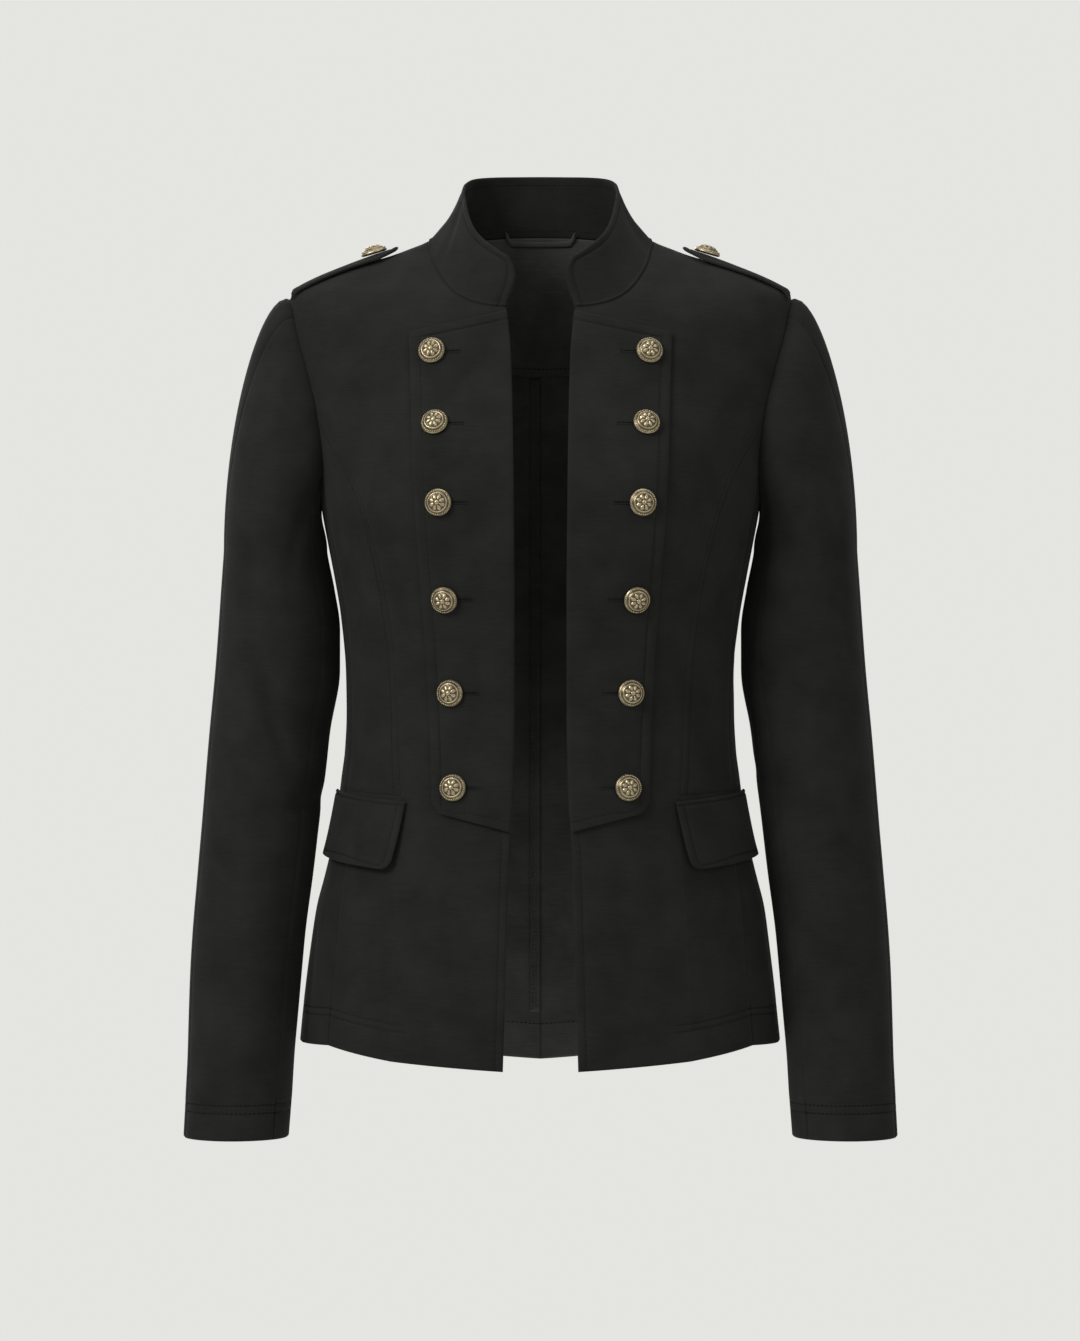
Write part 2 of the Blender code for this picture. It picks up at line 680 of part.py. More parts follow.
def make_facing():
    """The facing inside the back neck, from shoulder seam to shoulder seam."""
    half = []
    for share in np.linspace(0, 1, 11):
        row = SIDE_NECK + 0.5 + (len(COLLAR) - 1.5 - SIDE_NECK) * share
        angle, height = neck_place(row)
        low_angle = 104.0 + 76.0 * share ** 0.8
        low_height = -20.0 - 72.0 * math.sin(math.pi / 2 * share)
        half.append([(angle + (low_angle - angle) * t, height - 0.8 + (low_height - height + 0.8) * t)
                     for t in (0.0, 0.25, 0.5, 0.75, 1.0)])
    points, normals = on_body(half, -CLOTH - FACING_GAP)
    points, normals = points.transpose(1, 0, 2), normals.transpose(1, 0, 2)
    mirror = np.array([-1, 1, 1])
    points = np.concatenate([points, points[:, -2::-1] * mirror], axis=1)
    normals = np.concatenate([normals, normals[:, -2::-1] * mirror], axis=1)
    return cloth_piece("back_neck_facing", CHARCOAL_INSIDE, points, normals, FACING_CLOTH)


def make_loop():
    """The hanger loop inside the back neck."""
    places = []
    for t in (0.0, 0.5, 1.0):
        row = []
        for x in (-28.0, -26.5, -24.0, -14.0, 0.0, 14.0, 24.0, 26.5, 28.0):
            rise = 6.0 * max(0.0, (abs(x) - 23.5) / 4.5)
            height = 4.5 + rise - 5.0 * t
            angle = angle_at(x, height, True)
            row.append((angle if x >= 0 else 360 - angle, height))
        places.append(row)
    points, normals = on_body(places, -CLOTH - FACING_GAP - FACING_CLOTH - 0.6)
    return cloth_piece("hanger_loop", CHARCOAL_INSIDE, points, normals, 1.4)


def make_allowance():
    """The allowance of the centre back seam, turned to the wearer's right."""
    heights = [height for height in line_heights("centre_back") if -587 < height < -96]
    places = []
    for height in [-95.0] + heights + [-588.0]:
        row = []
        for x in (-8.5, -4.5, -0.6):
            row.append((360 - angle_at(x, height, True), height))
        places.append(row)
    points, normals = on_body(places, -CLOTH - 0.5)
    return cloth_piece("centre_back_allowance", CHARCOAL_INSIDE, points, normals, 0.9)


def main():
    """Clear the scene and build every piece."""
    for thing in list(bpy.data.objects):
        bpy.data.objects.remove(thing)
    garment = bpy.data.collections.new("stand_collar_blazer")
    bpy.context.scene.collection.children.link(garment)
    for side, word in ((1, "left"), (-1, "right")):
        make_body(side, word)
        make_sleeves(side, word)
        make_plastron(side, word)
        make_flap(side, word)
        make_epaulette(side, word)
        make_buttons(side, word)
    make_collar()
    make_facing()
    make_loop()
    make_allowance()


main()
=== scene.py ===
"""Looks of a women's stand collar blazer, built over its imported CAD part.

Each button in the sidebar's Blazer tab makes one group of pieces, and the last one the stage.
Lengths in the tables are millimetres from the neck base, heights upward.
Left and right are the wearer's: the wearer's left is at +X, the front faces -Y.
"""
import bisect
import math

import bmesh
import bpy
import numpy as np
from mathutils import Matrix, Vector


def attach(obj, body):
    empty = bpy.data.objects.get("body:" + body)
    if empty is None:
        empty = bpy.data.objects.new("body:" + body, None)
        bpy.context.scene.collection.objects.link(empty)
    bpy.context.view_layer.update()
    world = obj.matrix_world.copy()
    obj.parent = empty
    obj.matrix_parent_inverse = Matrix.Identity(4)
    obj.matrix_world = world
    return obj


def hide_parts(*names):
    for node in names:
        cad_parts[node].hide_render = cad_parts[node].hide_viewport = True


bl_info = {
    "name": "Stand collar blazer",
    "version": (1, 0, 0),
    "blender": (4, 5, 0),
    "location": "View3D > Sidebar > Blazer",
    "description": "Panels, sewing, buttons and stage of a stand collar blazer",
    "category": "Object",
}

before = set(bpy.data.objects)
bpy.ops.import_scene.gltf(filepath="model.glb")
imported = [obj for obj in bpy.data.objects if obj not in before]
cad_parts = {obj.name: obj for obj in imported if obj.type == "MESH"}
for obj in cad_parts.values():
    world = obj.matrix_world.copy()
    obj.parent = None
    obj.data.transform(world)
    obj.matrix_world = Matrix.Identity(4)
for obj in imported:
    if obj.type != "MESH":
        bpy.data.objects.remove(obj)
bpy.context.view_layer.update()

MM = 0.001
SIDES = ((1, "left"), (-1, "right"))

# Cloth thicknesses and gaps in millimetres
CLOTH = 1.5
HEM_FOLD = 1.3
COLLAR_CLOTH = 2.4
PLASTRON_CLOTH = 2.2
FLAP_CLOTH = 2.6
EPAULETTE_CLOTH = 2.4
FACING_CLOTH = 1.0
FACING_GAP = 1.6
PLASTRON_GAP = 0.9
EPAULETTE_GAP = 1.1
LOOP_CLOTH = 1.4
ALLOWANCE_CLOTH = 0.9
COLLAR_FOOT = 2.2

# Turned hem and cuff, stitch lines from an edge, and how deep they are pressed in
HEM_DEPTH = 30.0
HEM_ROWS = (22.5, 27.5)
CUFF_DEPTH = 27.0
CUFF_ROWS = (20.0, 26.0)
TOP_ROW = 6.0
PRINCESS_ROW = 6.5
PLASTRON_ROW = 8.0
FLAP_TOP_ROW = 3.0
EPAULETTE_ROW = 5.0
COLLAR_INNER_ROW = 6.4
PRESS = 0.4
THICK_PRESS = 0.7

# Stitches, in millimetres
STITCH_PITCH = 3.4
STITCH_LENGTH = 2.5
STITCH_LIFT = 0.12
OVERLOCK_PITCH = 2.1

# Roundness of the torso's sections, rows of its grid, and how far folds fade from a seam
ROUNDNESS = 2.3
FINE = 4
POCKET_ROW = 16 * FINE
LOW_ROWS = 9 * FINE
NECK_ROWS = 7 * FINE
BACK_ROWS = 10 * FINE
FADE = 16.0
FOLD_RADIUS = 125.0
SLEEVE_DEGREE = 0.8
COLLAR_SPAN = 230.0
FACING_EDGE = 99.0
BELOW_PLASTRON = -441

# Distances from an edge or a knot where a mesh gets a line
SEAM = (0.0, 0.5, 1.2)
EDGE = (0.0, 0.4, 1.0, 2.0)
KNOT = (0.0,)
AFTER_KNOT = (0.6, 1.4)
THICK_EDGE = (0.0, 0.15, 0.6, 1.3)
CORNER = (0.0, 0.12, 0.45, 1.0, 1.8, 2.8, 4.0)

# Torso sections: height, half width, depth to the front, depth to the back
BODY = [
    (-660, 186.0, 135.0, 133.0),
    (-594, 181.0, 132.0, 130.0),
    (-563, 178.0, 131.0, 128.5),
    (-530, 174.0, 129.5, 126.5),
    (-500, 169.6, 127.5, 123.0),
    (-472, 162.2, 124.5, 118.0),
    (-450, 157.0, 122.0, 113.5),
    (-426, 153.2, 119.5, 108.0),
    (-400, 150.0, 118.0, 103.0),
    (-381, 147.6, 117.3, 100.5),
    (-355, 146.5, 116.6, 98.2),
    (-321, 147.2, 117.2, 98.5),
    (-280, 151.0, 121.5, 102.5),
    (-252, 155.5, 126.5, 108.0),
    (-230, 159.5, 129.5, 112.0),
    (-200, 165.0, 130.5, 115.0),
    (-170, 169.3, 125.0, 115.0),
    (-150, 174.5, 117.5, 112.0),
    (-130, 180.0, 108.5, 106.5),
    (-100, 186.5, 96.5, 97.0),
    (-80, 189.0, 89.0, 90.0),
    (-60, 190.0, 79.5, 84.0),
    (-45, 190.5, 67.5, 79.0),
    (-39, 188.5, 61.5, 77.0),
    (-33.5, 180.0, 55.0, 75.5),
    (-27.5, 168.0, 48.5, 73.5),
    (-22, 155.0, 42.5, 72.0),
    (-17, 142.0, 36.0, 70.5),
    (-12, 127.0, 29.5, 69.0),
    (-7.5, 112.0, 23.0, 67.8),
    (-3, 100.0, 17.0, 66.7),
    (3, 85.0, 10.0, 65.0),
    (6, 80.5, 8.0, 64.4),
    (9, 76.5, 7.0, 63.5),
    (13, 72.0, 6.0, 62.0),
    (20, 68.0, 4.0, 60.0),
]
BUST = {"across": 85.0, "height": -195.0, "rise": 9.0, "wide": 42.0, "tall": 55.0}

# Collar: base across, base height, back of the shoulder or not, top across, top y, top height
COLLAR = [
    (25.5, -52.0, 0, 25.5, -71.0, -15.0),
    (36.0, -51.3, 0, 33.0, -66.0, -8.4),
    (49.0, -48.5, 0, 43.5, -55.0, 0.4),
    (62.0, -42.0, 0, 50.5, -42.0, 9.6),
    (72.0, -31.0, 0, 54.5, -28.0, 20.0),
    (80.0, -16.0, 0, 57.0, -14.0, 31.0),
    (85.0, 3.0, 0, 58.8, 2.0, 41.0),
    (80.0, 5.2, 1, 58.0, 17.0, 48.5),
    (70.0, 7.5, 1, 52.5, 31.0, 53.3),
    (57.0, 9.6, 1, 43.5, 42.0, 55.6),
    (40.0, 11.4, 1, 30.5, 50.0, 56.9),
    (20.0, 12.7, 1, 15.0, 54.8, 57.5),
    (0.0, 13.0, 1, 0.0, 56.0, 57.7),
]
SIDE_NECK = 6

# Armhole from the shoulder tip forward, under the arm and up the back: angle, height
ARMHOLE = [
    (90.0, -40.0), (79.0, -47.0), (74.4, -64.0), (67.6, -97.0), (66.0, -123.0),
    (67.6, -147.0), (74.0, -176.0), (81.0, -191.0), (90.0, -200.0), (99.0, -191.0),
    (104.0, -176.0), (109.0, -150.0), (112.0, -125.0), (110.0, -97.0), (104.0, -64.0),
    (99.0, -48.0), (90.0, -40.0),
]
ARMHOLE_PARTS = [(0, 4, 7 * FINE), (4, 6, 3 * FINE), (6, 10, 4 * FINE), (10, 16, 10 * FINE)]

# Seams down the body: height, angle from the front
PRINCESS = [
    (-620, 34.0), (-500, 35.6), (-412, 39.9), (-382, 42.3), (-334, 44.0), (-285, 45.4),
    (-247, 46.7), (-208, 48.9), (-185, 51.8), (-163, 56.4), (-145, 61.5), (-123, 66.0),
]
SIDE_PANEL_FRONT = [
    (-620, 58.2), (-557, 58.8), (-476, 63.5), (-405, 72.0), (-323, 73.4), (-250, 73.3),
    (-176, 74.0),
]
SIDE_PANEL_BACK = [
    (-620, 105.0), (-500, 106.0), (-412, 107.0), (-323, 107.0), (-250, 106.0), (-176, 104.0),
]

# Front edge: height, distance from the centre
FRONT_EDGE = [
    (-620, 27.7), (-560, 26.0), (-500, 24.4), (-447, 22.6), (-416, 20.4), (-343, 19.0),
    (-270, 19.0), (-196, 19.5), (-104, 21.2), (-70, 23.2), (-52, 25.5),
]

# Heights where each line starts, meets the pocket and ends
LINE_HEIGHTS = {
    "edge": (-52.0, -414.0, -613.0),
    "princess": (-123.0, -413.0, -607.0),
    "side_front": (-176.0, -410.0, -598.0),
    "side_back": (-176.0, -410.0, -601.0),
    "centre_back": (-60.0, -414.0, -625.0),
}

# Sleeve sections: height, inner side, outer side, half depth, middle y. Then how its cloth
# starts: off the armhole, and tucked back and under the body's cloth
SLEEVE = [
    (-680, 188.4, 266.6, 39.2, -49.0),
    (-668, 187.6, 266.0, 39.5, -47.0),
    (-638, 185.4, 264.8, 40.0, -42.5),
    (-608, 183.8, 263.6, 41.0, -38.0),
    (-578, 181.4, 263.2, 42.0, -32.0),
    (-547, 178.9, 262.5, 43.0, -27.0),
    (-517, 176.3, 261.0, 44.3, -23.0),
    (-472, 170.6, 257.6, 46.0, -17.0),
    (-426, 165.4, 254.0, 48.0, -12.0),
    (-396, 161.6, 251.8, 49.5, -9.0),
    (-366, 158.4, 249.4, 51.0, -6.5),
    (-321, 151.2, 245.3, 53.5, -4.0),
    (-290, 151.2, 243.0, 55.0, -3.0),
    (-260, 155.4, 241.0, 56.5, -2.0),
    (-232, 161.0, 239.0, 58.0, -1.0),
    (-220, 162.5, 238.0, 58.0, -1.0),
]
SLEEVE_TOP = -232.0
SLEEVE_END = -668.0
SLEEVE_LIFT = 0.35
SLEEVE_TUCK = (3.0, 1.5)

# Round the sleeve: ring place, angle from the outer side, reach of the cap
SLEEVE_TURN = [
    (0, 0.0, 21.0), (2, 20.0, 19.0), (7, 85.0, 20.0), (10, 138.0, 12.0), (12, 180.0, 8.0),
    (14, 222.0, 12.0), (19, 282.0, 20.0), (24, 360.0, 21.0),
]
SLEEVE_OUTER_SEAM = 2
SLEEVE_INNER_SEAM = 10

# Plastron: share of its length, outer edge from the centre, height there, height at the edge
PLASTRON = [
    (0.0, 96.8, -72.0, -56.5),
    (0.14, 95.2, -107.0, -100.0),
    (0.32, 92.5, -172.0, -168.0),
    (0.5, 88.0, -240.0, -236.0),
    (0.7, 83.0, -312.0, -308.0),
    (0.9, 79.6, -388.0, -390.0),
    (1.0, 79.0, -424.5, -439.5),
]
PLASTRON_SIZE = (372.0, 68.0)
PLASTRON_CORNERS = (2.5, 9.0)

# Buttons: distance from the centre, height, gap under the button
BUTTONS = [
    (79.5, -86.9, 0.6), (76.7, -141.5, 0.6), (73.7, -198.8, 0.3), (69.0, -268.5, 0.9),
    (65.0, -337.5, 0.6), (63.0, -406.9, 0.6),
]

# Pocket flap ends: angle and height at the top, angle and height at the bottom. How far it
# stands off at the top and at the bottom's front and back, its size and its corners' radius
FLAP = {
    "front": (37.2, -417.5, 39.4, -468.5),
    "back": (83.0, -410.0, 88.5, -459.0),
    "stand": (0.9, 4.6, 2.4),
    "size": (118.0, 50.0),
    "corner": 8.0,
}
# Epaulette: outer and inner end from the centre, half width, rise of its free end
EPAULETTE = {"outer": 185.5, "inner": 106.0, "half": 19.5, "lift": 4.0}
EPAULETTE_BUTTON = (124.0, -3.0)

BUTTON_RADIUS = 10.0
BUTTON_TURNS = 80
BEADS = 40
BEAD_RADIUS = 0.62
BEAD_RISE = 2.75
BEAD_REACH = 0.885

# Buttonholes: distance from the button's middle, length, stitches a side and at the end
HOLE = {"start": 4.0, "length": 16.0, "stitches": 38, "end": 20.3, "end_stitches": 5}

# Soft folds of the torso: angle, height, half length, half width, tilt, depth, side or 0 for both
BODY_FOLDS = [
    (60.0, -262.0, 46.0, 9.0, 68.0, 1.6, 0),
    (40.0, -300.0, 60.0, 11.0, 84.0, 1.3, 0),
    (52.0, -352.0, 42.0, 8.0, 74.0, 1.0, 1),
    (50.0, -340.0, 46.0, 9.0, 98.0, 1.1, -1),
    (88.0, -300.0, 60.0, 12.0, 80.0, 1.6, 1),
    (92.0, -320.0, 52.0, 10.0, 97.0, 1.5, -1),
    (62.0, -505.0, 50.0, 14.0, 82.0, 1.5, 0),
    (84.0, -540.0, 55.0, 13.0, 96.0, 1.7, 1),
    (80.0, -530.0, 52.0, 14.0, 86.0, 1.6, -1),
    (118.0, -306.0, 44.0, 8.0, 22.0, 1.6, 1),
    (124.0, -334.0, 40.0, 7.0, 14.0, 1.3, -1),
    (140.0, -350.0, 38.0, 7.0, 8.0, 1.1, 1),
    (146.0, -322.0, 42.0, 8.0, -12.0, 1.2, -1),
    (128.0, -520.0, 60.0, 14.0, 84.0, 1.6, 1),
    (136.0, -545.0, 55.0, 13.0, 95.0, 1.5, -1),
    (160.0, -540.0, 62.0, 15.0, 88.0, 1.4, 0),
    (128.0, -150.0, 40.0, 10.0, 70.0, 1.2, 0),
    (150.0, -90.0, 46.0, 12.0, 30.0, 1.0, 1),
    (54.0, -120.0, 38.0, 9.0, 60.0, 1.2, 1),
    (50.0, -112.0, 42.0, 9.0, 66.0, 1.2, -1),
]

# Soft folds of the sleeves: turn, height, half length, half width, tilt, depth, side
SLEEVE_FOLDS = [
    (93.0, -350.0, 44.0, 7.0, -66.0, 2.6, -1),
    (100.0, -340.0, 36.0, 8.0, -58.0, 1.5, 1),
    (92.0, -428.0, 34.0, 6.0, 8.0, 1.6, 0),
    (84.0, -452.0, 30.0, 6.0, -6.0, 1.3, 1),
    (96.0, -474.0, 32.0, 6.5, 10.0, 1.4, -1),
    (150.0, -402.0, 26.0, 6.0, 18.0, 1.7, 1),
    (156.0, -420.0, 28.0, 6.0, 12.0, 1.6, -1),
    (60.0, -232.0, 50.0, 9.0, 84.0, 1.6, 1),
    (64.0, -240.0, 54.0, 9.0, 96.0, 1.7, -1),
    (118.0, -226.0, 36.0, 7.0, 74.0, 1.4, 0),
    (270.0, -360.0, 34.0, 7.0, 10.0, 1.8, 0),
    (262.0, -394.0, 36.0, 7.0, -8.0, 1.6, 1),
    (280.0, -430.0, 32.0, 7.0, 12.0, 1.5, -1),
    (236.0, -250.0, 46.0, 9.0, 70.0, 1.5, 1),
    (244.0, -262.0, 50.0, 9.0, 104.0, 1.5, -1),
    (300.0, -300.0, 52.0, 10.0, 88.0, 1.3, 0),
]

# Soft folds of the plastron: distance from the centre, height, half length, half width, tilt,
# depth, side
PLASTRON_FOLDS = [
    (58.0, -112.0, 34.0, 7.0, -48.0, 0.9, -1),
    (50.0, -236.0, 40.0, 9.0, 62.0, 0.6, 1),
    (52.0, -300.0, 44.0, 9.0, 74.0, 0.6, -1),
]

# Soft folds of the collar: place round the neck, distance from the seam, half length, half
# width, tilt, depth
COLLAR_FOLDS = [
    (-0.62, 26.0, 26.0, 5.0, 56.0, 1.1),
    (-0.36, 24.0, 22.0, 5.0, 100.0, 0.8),
    (0.55, 26.0, 22.0, 5.0, -70.0, 0.8),
    (0.1, 26.0, 24.0, 6.0, 80.0, 0.7),
]

# Lights: name, place, size, watts
LIGHTS = [
    ("Key light", (-2.3, -2.2, 1.5), (1.4, 1.4), 46.0),
    ("Fill light", (2.0, -2.6, 0.8), (1.8, 1.8), 9.0),
    ("Top light", (0.0, 0.1, 2.0), (2.0, 1.4), 10.0),
    ("Back light", (-0.9, 2.8, 1.0), (1.8, 1.8), 24.0),
]
LIGHTS_AIM = (0, 0, -0.32)
FLOOR_GLOW = 0.5
FLOOR_HEIGHT = -1.45
CAMERA_PLACE = (-0.0004, -3.5, -0.321)
CAMERA_LENS = 124.4


def smooth(table, column, at):
    """One column of a table at a place in its first column, without overshoot."""
    keys = [row[0] for row in table]
    values = [row[column] for row in table]
    spot = min(max(bisect.bisect_right(keys, at) - 1, 0), len(keys) - 2)

    def slope(k):
        if k <= 0 or k >= len(keys) - 1:
            k = min(max(k, 1), len(keys) - 1)
            return (values[k] - values[k - 1]) / (keys[k] - keys[k - 1])
        before = (values[k] - values[k - 1]) / (keys[k] - keys[k - 1])
        after = (values[k + 1] - values[k]) / (keys[k + 1] - keys[k])
        if before * after <= 0:
            return 0.0
        return 2 * before * after / (before + after)

    width = keys[spot + 1] - keys[spot]
    part = (at - keys[spot]) / width
    part = min(max(part, -0.5), 1.5)
    start, end = values[spot], values[spot + 1]
    lead, trail = slope(spot) * width, slope(spot + 1) * width
    square, cube = part * part, part ** 3
    return (start * (2 * cube - 3 * square + 1) + end * (3 * square - 2 * cube)
            + lead * (cube - 2 * square + part) + trail * (cube - square))


SECTION_STEP = 0.25
SECTION_COUNT = round((BODY[-1][0] - BODY[0][0]) / SECTION_STEP)
SECTIONS = [[smooth(BODY, column, BODY[0][0] + k * SECTION_STEP)
             for k in range(SECTION_COUNT + 1)] for column in (1, 2, 3)]


def section_size(column, height):
    """A torso section's half width (1), depth to the front (2) or to the back (3)."""
    at = min(max((height - BODY[0][0]) / SECTION_STEP, 0.0), SECTION_COUNT - 0.001)
    k = int(at)
    sizes = SECTIONS[column - 1]
    return sizes[k] + (sizes[k + 1] - sizes[k]) * (at - k)


def body_point(angle, height):
    """A point on the torso's outer face, on the wearer's left."""
    turn = math.radians(angle)
    power = 2 / ROUNDNESS
    across = section_size(1, height) * abs(math.sin(turn)) ** power
    if math.sin(turn) < 0:
        across = -across
    fall = abs(math.cos(turn)) ** power
    if math.cos(turn) < 0:
        return np.array([across, section_size(3, height) * fall, height])
    far = (abs(across) - BUST["across"]) / BUST["wide"]
    up = (height - BUST["height"]) / BUST["tall"]
    bust = BUST["rise"] * math.exp(-far * far - up * up) * min(1.0, 2 * math.cos(turn))
    return np.array([across, -section_size(2, height) * fall - bust, height])


def body_normal(angle, height):
    """The outward direction of the torso there."""
    round_it = body_point(angle + 0.4, height) - body_point(angle - 0.4, height)
    upward = body_point(angle, height + 0.8) - body_point(angle, height - 0.8)
    normal = np.cross(round_it, upward)
    return normal / np.linalg.norm(normal)


def angle_at(across, height, back=False):
    """The angle that puts a point this far from the centre."""
    share = min(abs(across) / section_size(1, height), 1.0)
    angle = math.degrees(math.asin(share ** (ROUNDNESS / 2)))
    return 180 - angle if back else angle


def spread(places, count):
    """A line of angle and height pairs cut into equal lengths on the body."""
    points = [body_point(*place) for place in places]
    steps = [np.linalg.norm(b - a) for a, b in zip(points, points[1:])]
    reach = np.concatenate([[0.0], np.cumsum(steps)])
    wanted = np.linspace(0, reach[-1], count + 1)
    angles = np.interp(wanted, reach, [place[0] for place in places])
    heights = np.interp(wanted, reach, [place[1] for place in places])
    return list(zip(angles, heights))


def numbered(table):
    """A table with its row numbers as the first column."""
    return [(k,) + line for k, line in enumerate(table)]


def neck_place(row):
    """Angle and height on the neck seam at a place in the collar table."""
    table = numbered(COLLAR)
    across, height = smooth(table, 1, row), smooth(table, 2, row)
    return angle_at(across, height, row > SIDE_NECK), height


def armhole_places():
    """The armhole's points in the order of its table, in four seams."""
    table = numbered(ARMHOLE)
    ring = []
    for first, last, count in ARMHOLE_PARTS:
        rows = np.linspace(first, last, 60)
        places = [(smooth(table, 1, row), smooth(table, 2, row)) for row in rows]
        ring.append(spread(places, count))
    return ring


def line_heights(name):
    """Heights of a line's rows from its start to the hem."""
    start, pocket, hem = LINE_HEIGHTS[name]
    upper = [start + (pocket - start) * k / POCKET_ROW for k in range(POCKET_ROW + 1)]
    return upper + [pocket + (hem - pocket) * k / LOW_ROWS for k in range(1, LOW_ROWS + 1)]


def seam_line(name, table):
    """A seam's angle and height at each row."""
    return [(smooth(table, 1, height), height) for height in line_heights(name)]


def front_edge_line():
    """The front edge at each row."""
    return [(angle_at(smooth(FRONT_EDGE, 1, height), height), height)
            for height in line_heights("edge")]


def between(start, end, count):
    """Places from one to another, equal lengths apart on the body."""
    shares = np.linspace(0, 1, 14)
    places = [(start[0] + (end[0] - start[0]) * s, start[1] + (end[1] - start[1]) * s)
              for s in shares]
    return spread(places, count)


def body_grid(lefts, rights, count):
    """Rows of places between two lines."""
    return [between(a, b, count) for a, b in zip(lefts, rights)]


def on_body(places, lift=0.0):
    """Rows of points with their directions and places, moved out by a lift."""
    rows = []
    for row in places:
        line = []
        for angle, height in row:
            normal = body_normal(angle, height)
            point = body_point(angle, height) + normal * lift
            line.append(np.concatenate([point, normal, [angle, height]]))
        rows.append(line)
    return np.array(rows)


def trough(across, up, centre, size, tilt, depth):
    """Depth of one soft fold at a place, in millimetres."""
    turn = math.radians(tilt)
    u = (across - centre[0]) * math.cos(turn) + (up - centre[1]) * math.sin(turn)
    v = (up - centre[1]) * math.cos(turn) - (across - centre[0]) * math.sin(turn)
    bend = 0.16 * size[1] * np.sin(u / size[0] * 2.2)
    return depth * np.exp(-(u / size[0]) ** 2 - ((v + bend) / size[1]) ** 2)


def folds_of(table, side):
    """The folds that a table has for one side."""
    return [row[:-1] for row in table if row[-1] in (0, side)]


def seam_fade(points):
    """Nothing at the armhole and the neck seam and one away from them, so that seams stay shut."""
    places = [place for part in armhole_places() for place in part]
    places += [neck_place(row) for row in np.linspace(0, len(COLLAR) - 1, 60)]
    seams = np.array([body_point(*place) for place in places])
    nearest = np.full(points.shape[:2], 1e9)
    for spot in seams:
        nearest = np.minimum(nearest, np.linalg.norm(points - spot, axis=2))
    return 1 - np.exp(-(nearest / FADE) ** 2)


def body_folds(grid, side, settings):
    """Lays the soft folds of the torso into a grid."""
    moved = grid.copy()
    across = np.radians(grid[:, :, 6]) * FOLD_RADIUS
    up = grid[:, :, 7]
    fall = np.zeros(up.shape)
    for angle, height, long, wide, tilt, depth in folds_of(BODY_FOLDS, side):
        fall += trough(across, up, (math.radians(angle) * FOLD_RADIUS, height),
                       (long, wide), tilt, depth)
    fall *= settings.fold_depth * seam_fade(grid[:, :, :3])
    moved[:, :, :3] -= grid[:, :, 3:6] * fall[:, :, None]
    return moved


def grid_normals(points, around=False):
    """Outward directions of a grid whose rows run down and columns run forward."""
    down = np.gradient(points, axis=0)
    if around:
        wide = np.concatenate([points[:, -2:-1], points, points[:, 1:2]], axis=1)
        across = np.gradient(wide, axis=1)[:, 1:-1]
    else:
        across = np.gradient(points, axis=1)
    normal = np.cross(down, across)
    return normal / np.linalg.norm(normal, axis=2)[:, :, None]


def stitched(steps, *rows):
    """Distances from an edge where the mesh gets a line, finer at its stitch rows."""
    for at in rows:
        steps += (at - 1.2, at - 0.45, at, at + 0.45, at + 1.2)
    return sorted(steps)


def reach_of(points):
    """Lengths along a line of points."""
    steps = np.linalg.norm(np.diff(points, axis=0), axis=1)
    return np.concatenate([[0.0], np.cumsum(steps)])


def recut(grid, specs, *knots):
    """Cuts every row again by length. Each part between knots has its own steps."""
    knots = (0, *knots, grid.shape[1] - 1)
    rows = []
    for row in grid:
        pieces = []
        for (first, last), (lead, count, trail) in zip(zip(knots, knots[1:]), specs):
            part = row[first:last + 1]
            reach = reach_of(part[:, :3])
            shrink = min(1.0, 0.8 * reach[-1] / (lead[-1] + trail[-1] + 1e-6))
            front = np.array(lead) * shrink
            rear = reach[-1] - np.array(trail)[::-1] * shrink
            middle = np.linspace(front[-1], rear[0], count + 2)[1:-1]
            wanted = np.concatenate([front, middle, rear])
            pieces.append(np.stack([np.interp(wanted, reach, column) for column in part.T],
                                   axis=1))
        rows.append(np.concatenate(pieces))
    return np.array(rows)


def recut_down(grid, specs, *knots):
    """The same for the columns."""
    return recut(grid.transpose(1, 0, 2), specs, *knots).transpose(1, 0, 2)


def refine(grid, across, down):
    """Cuts a grid without knots again, both ways."""
    return recut_down(recut(grid, [across]), [down])


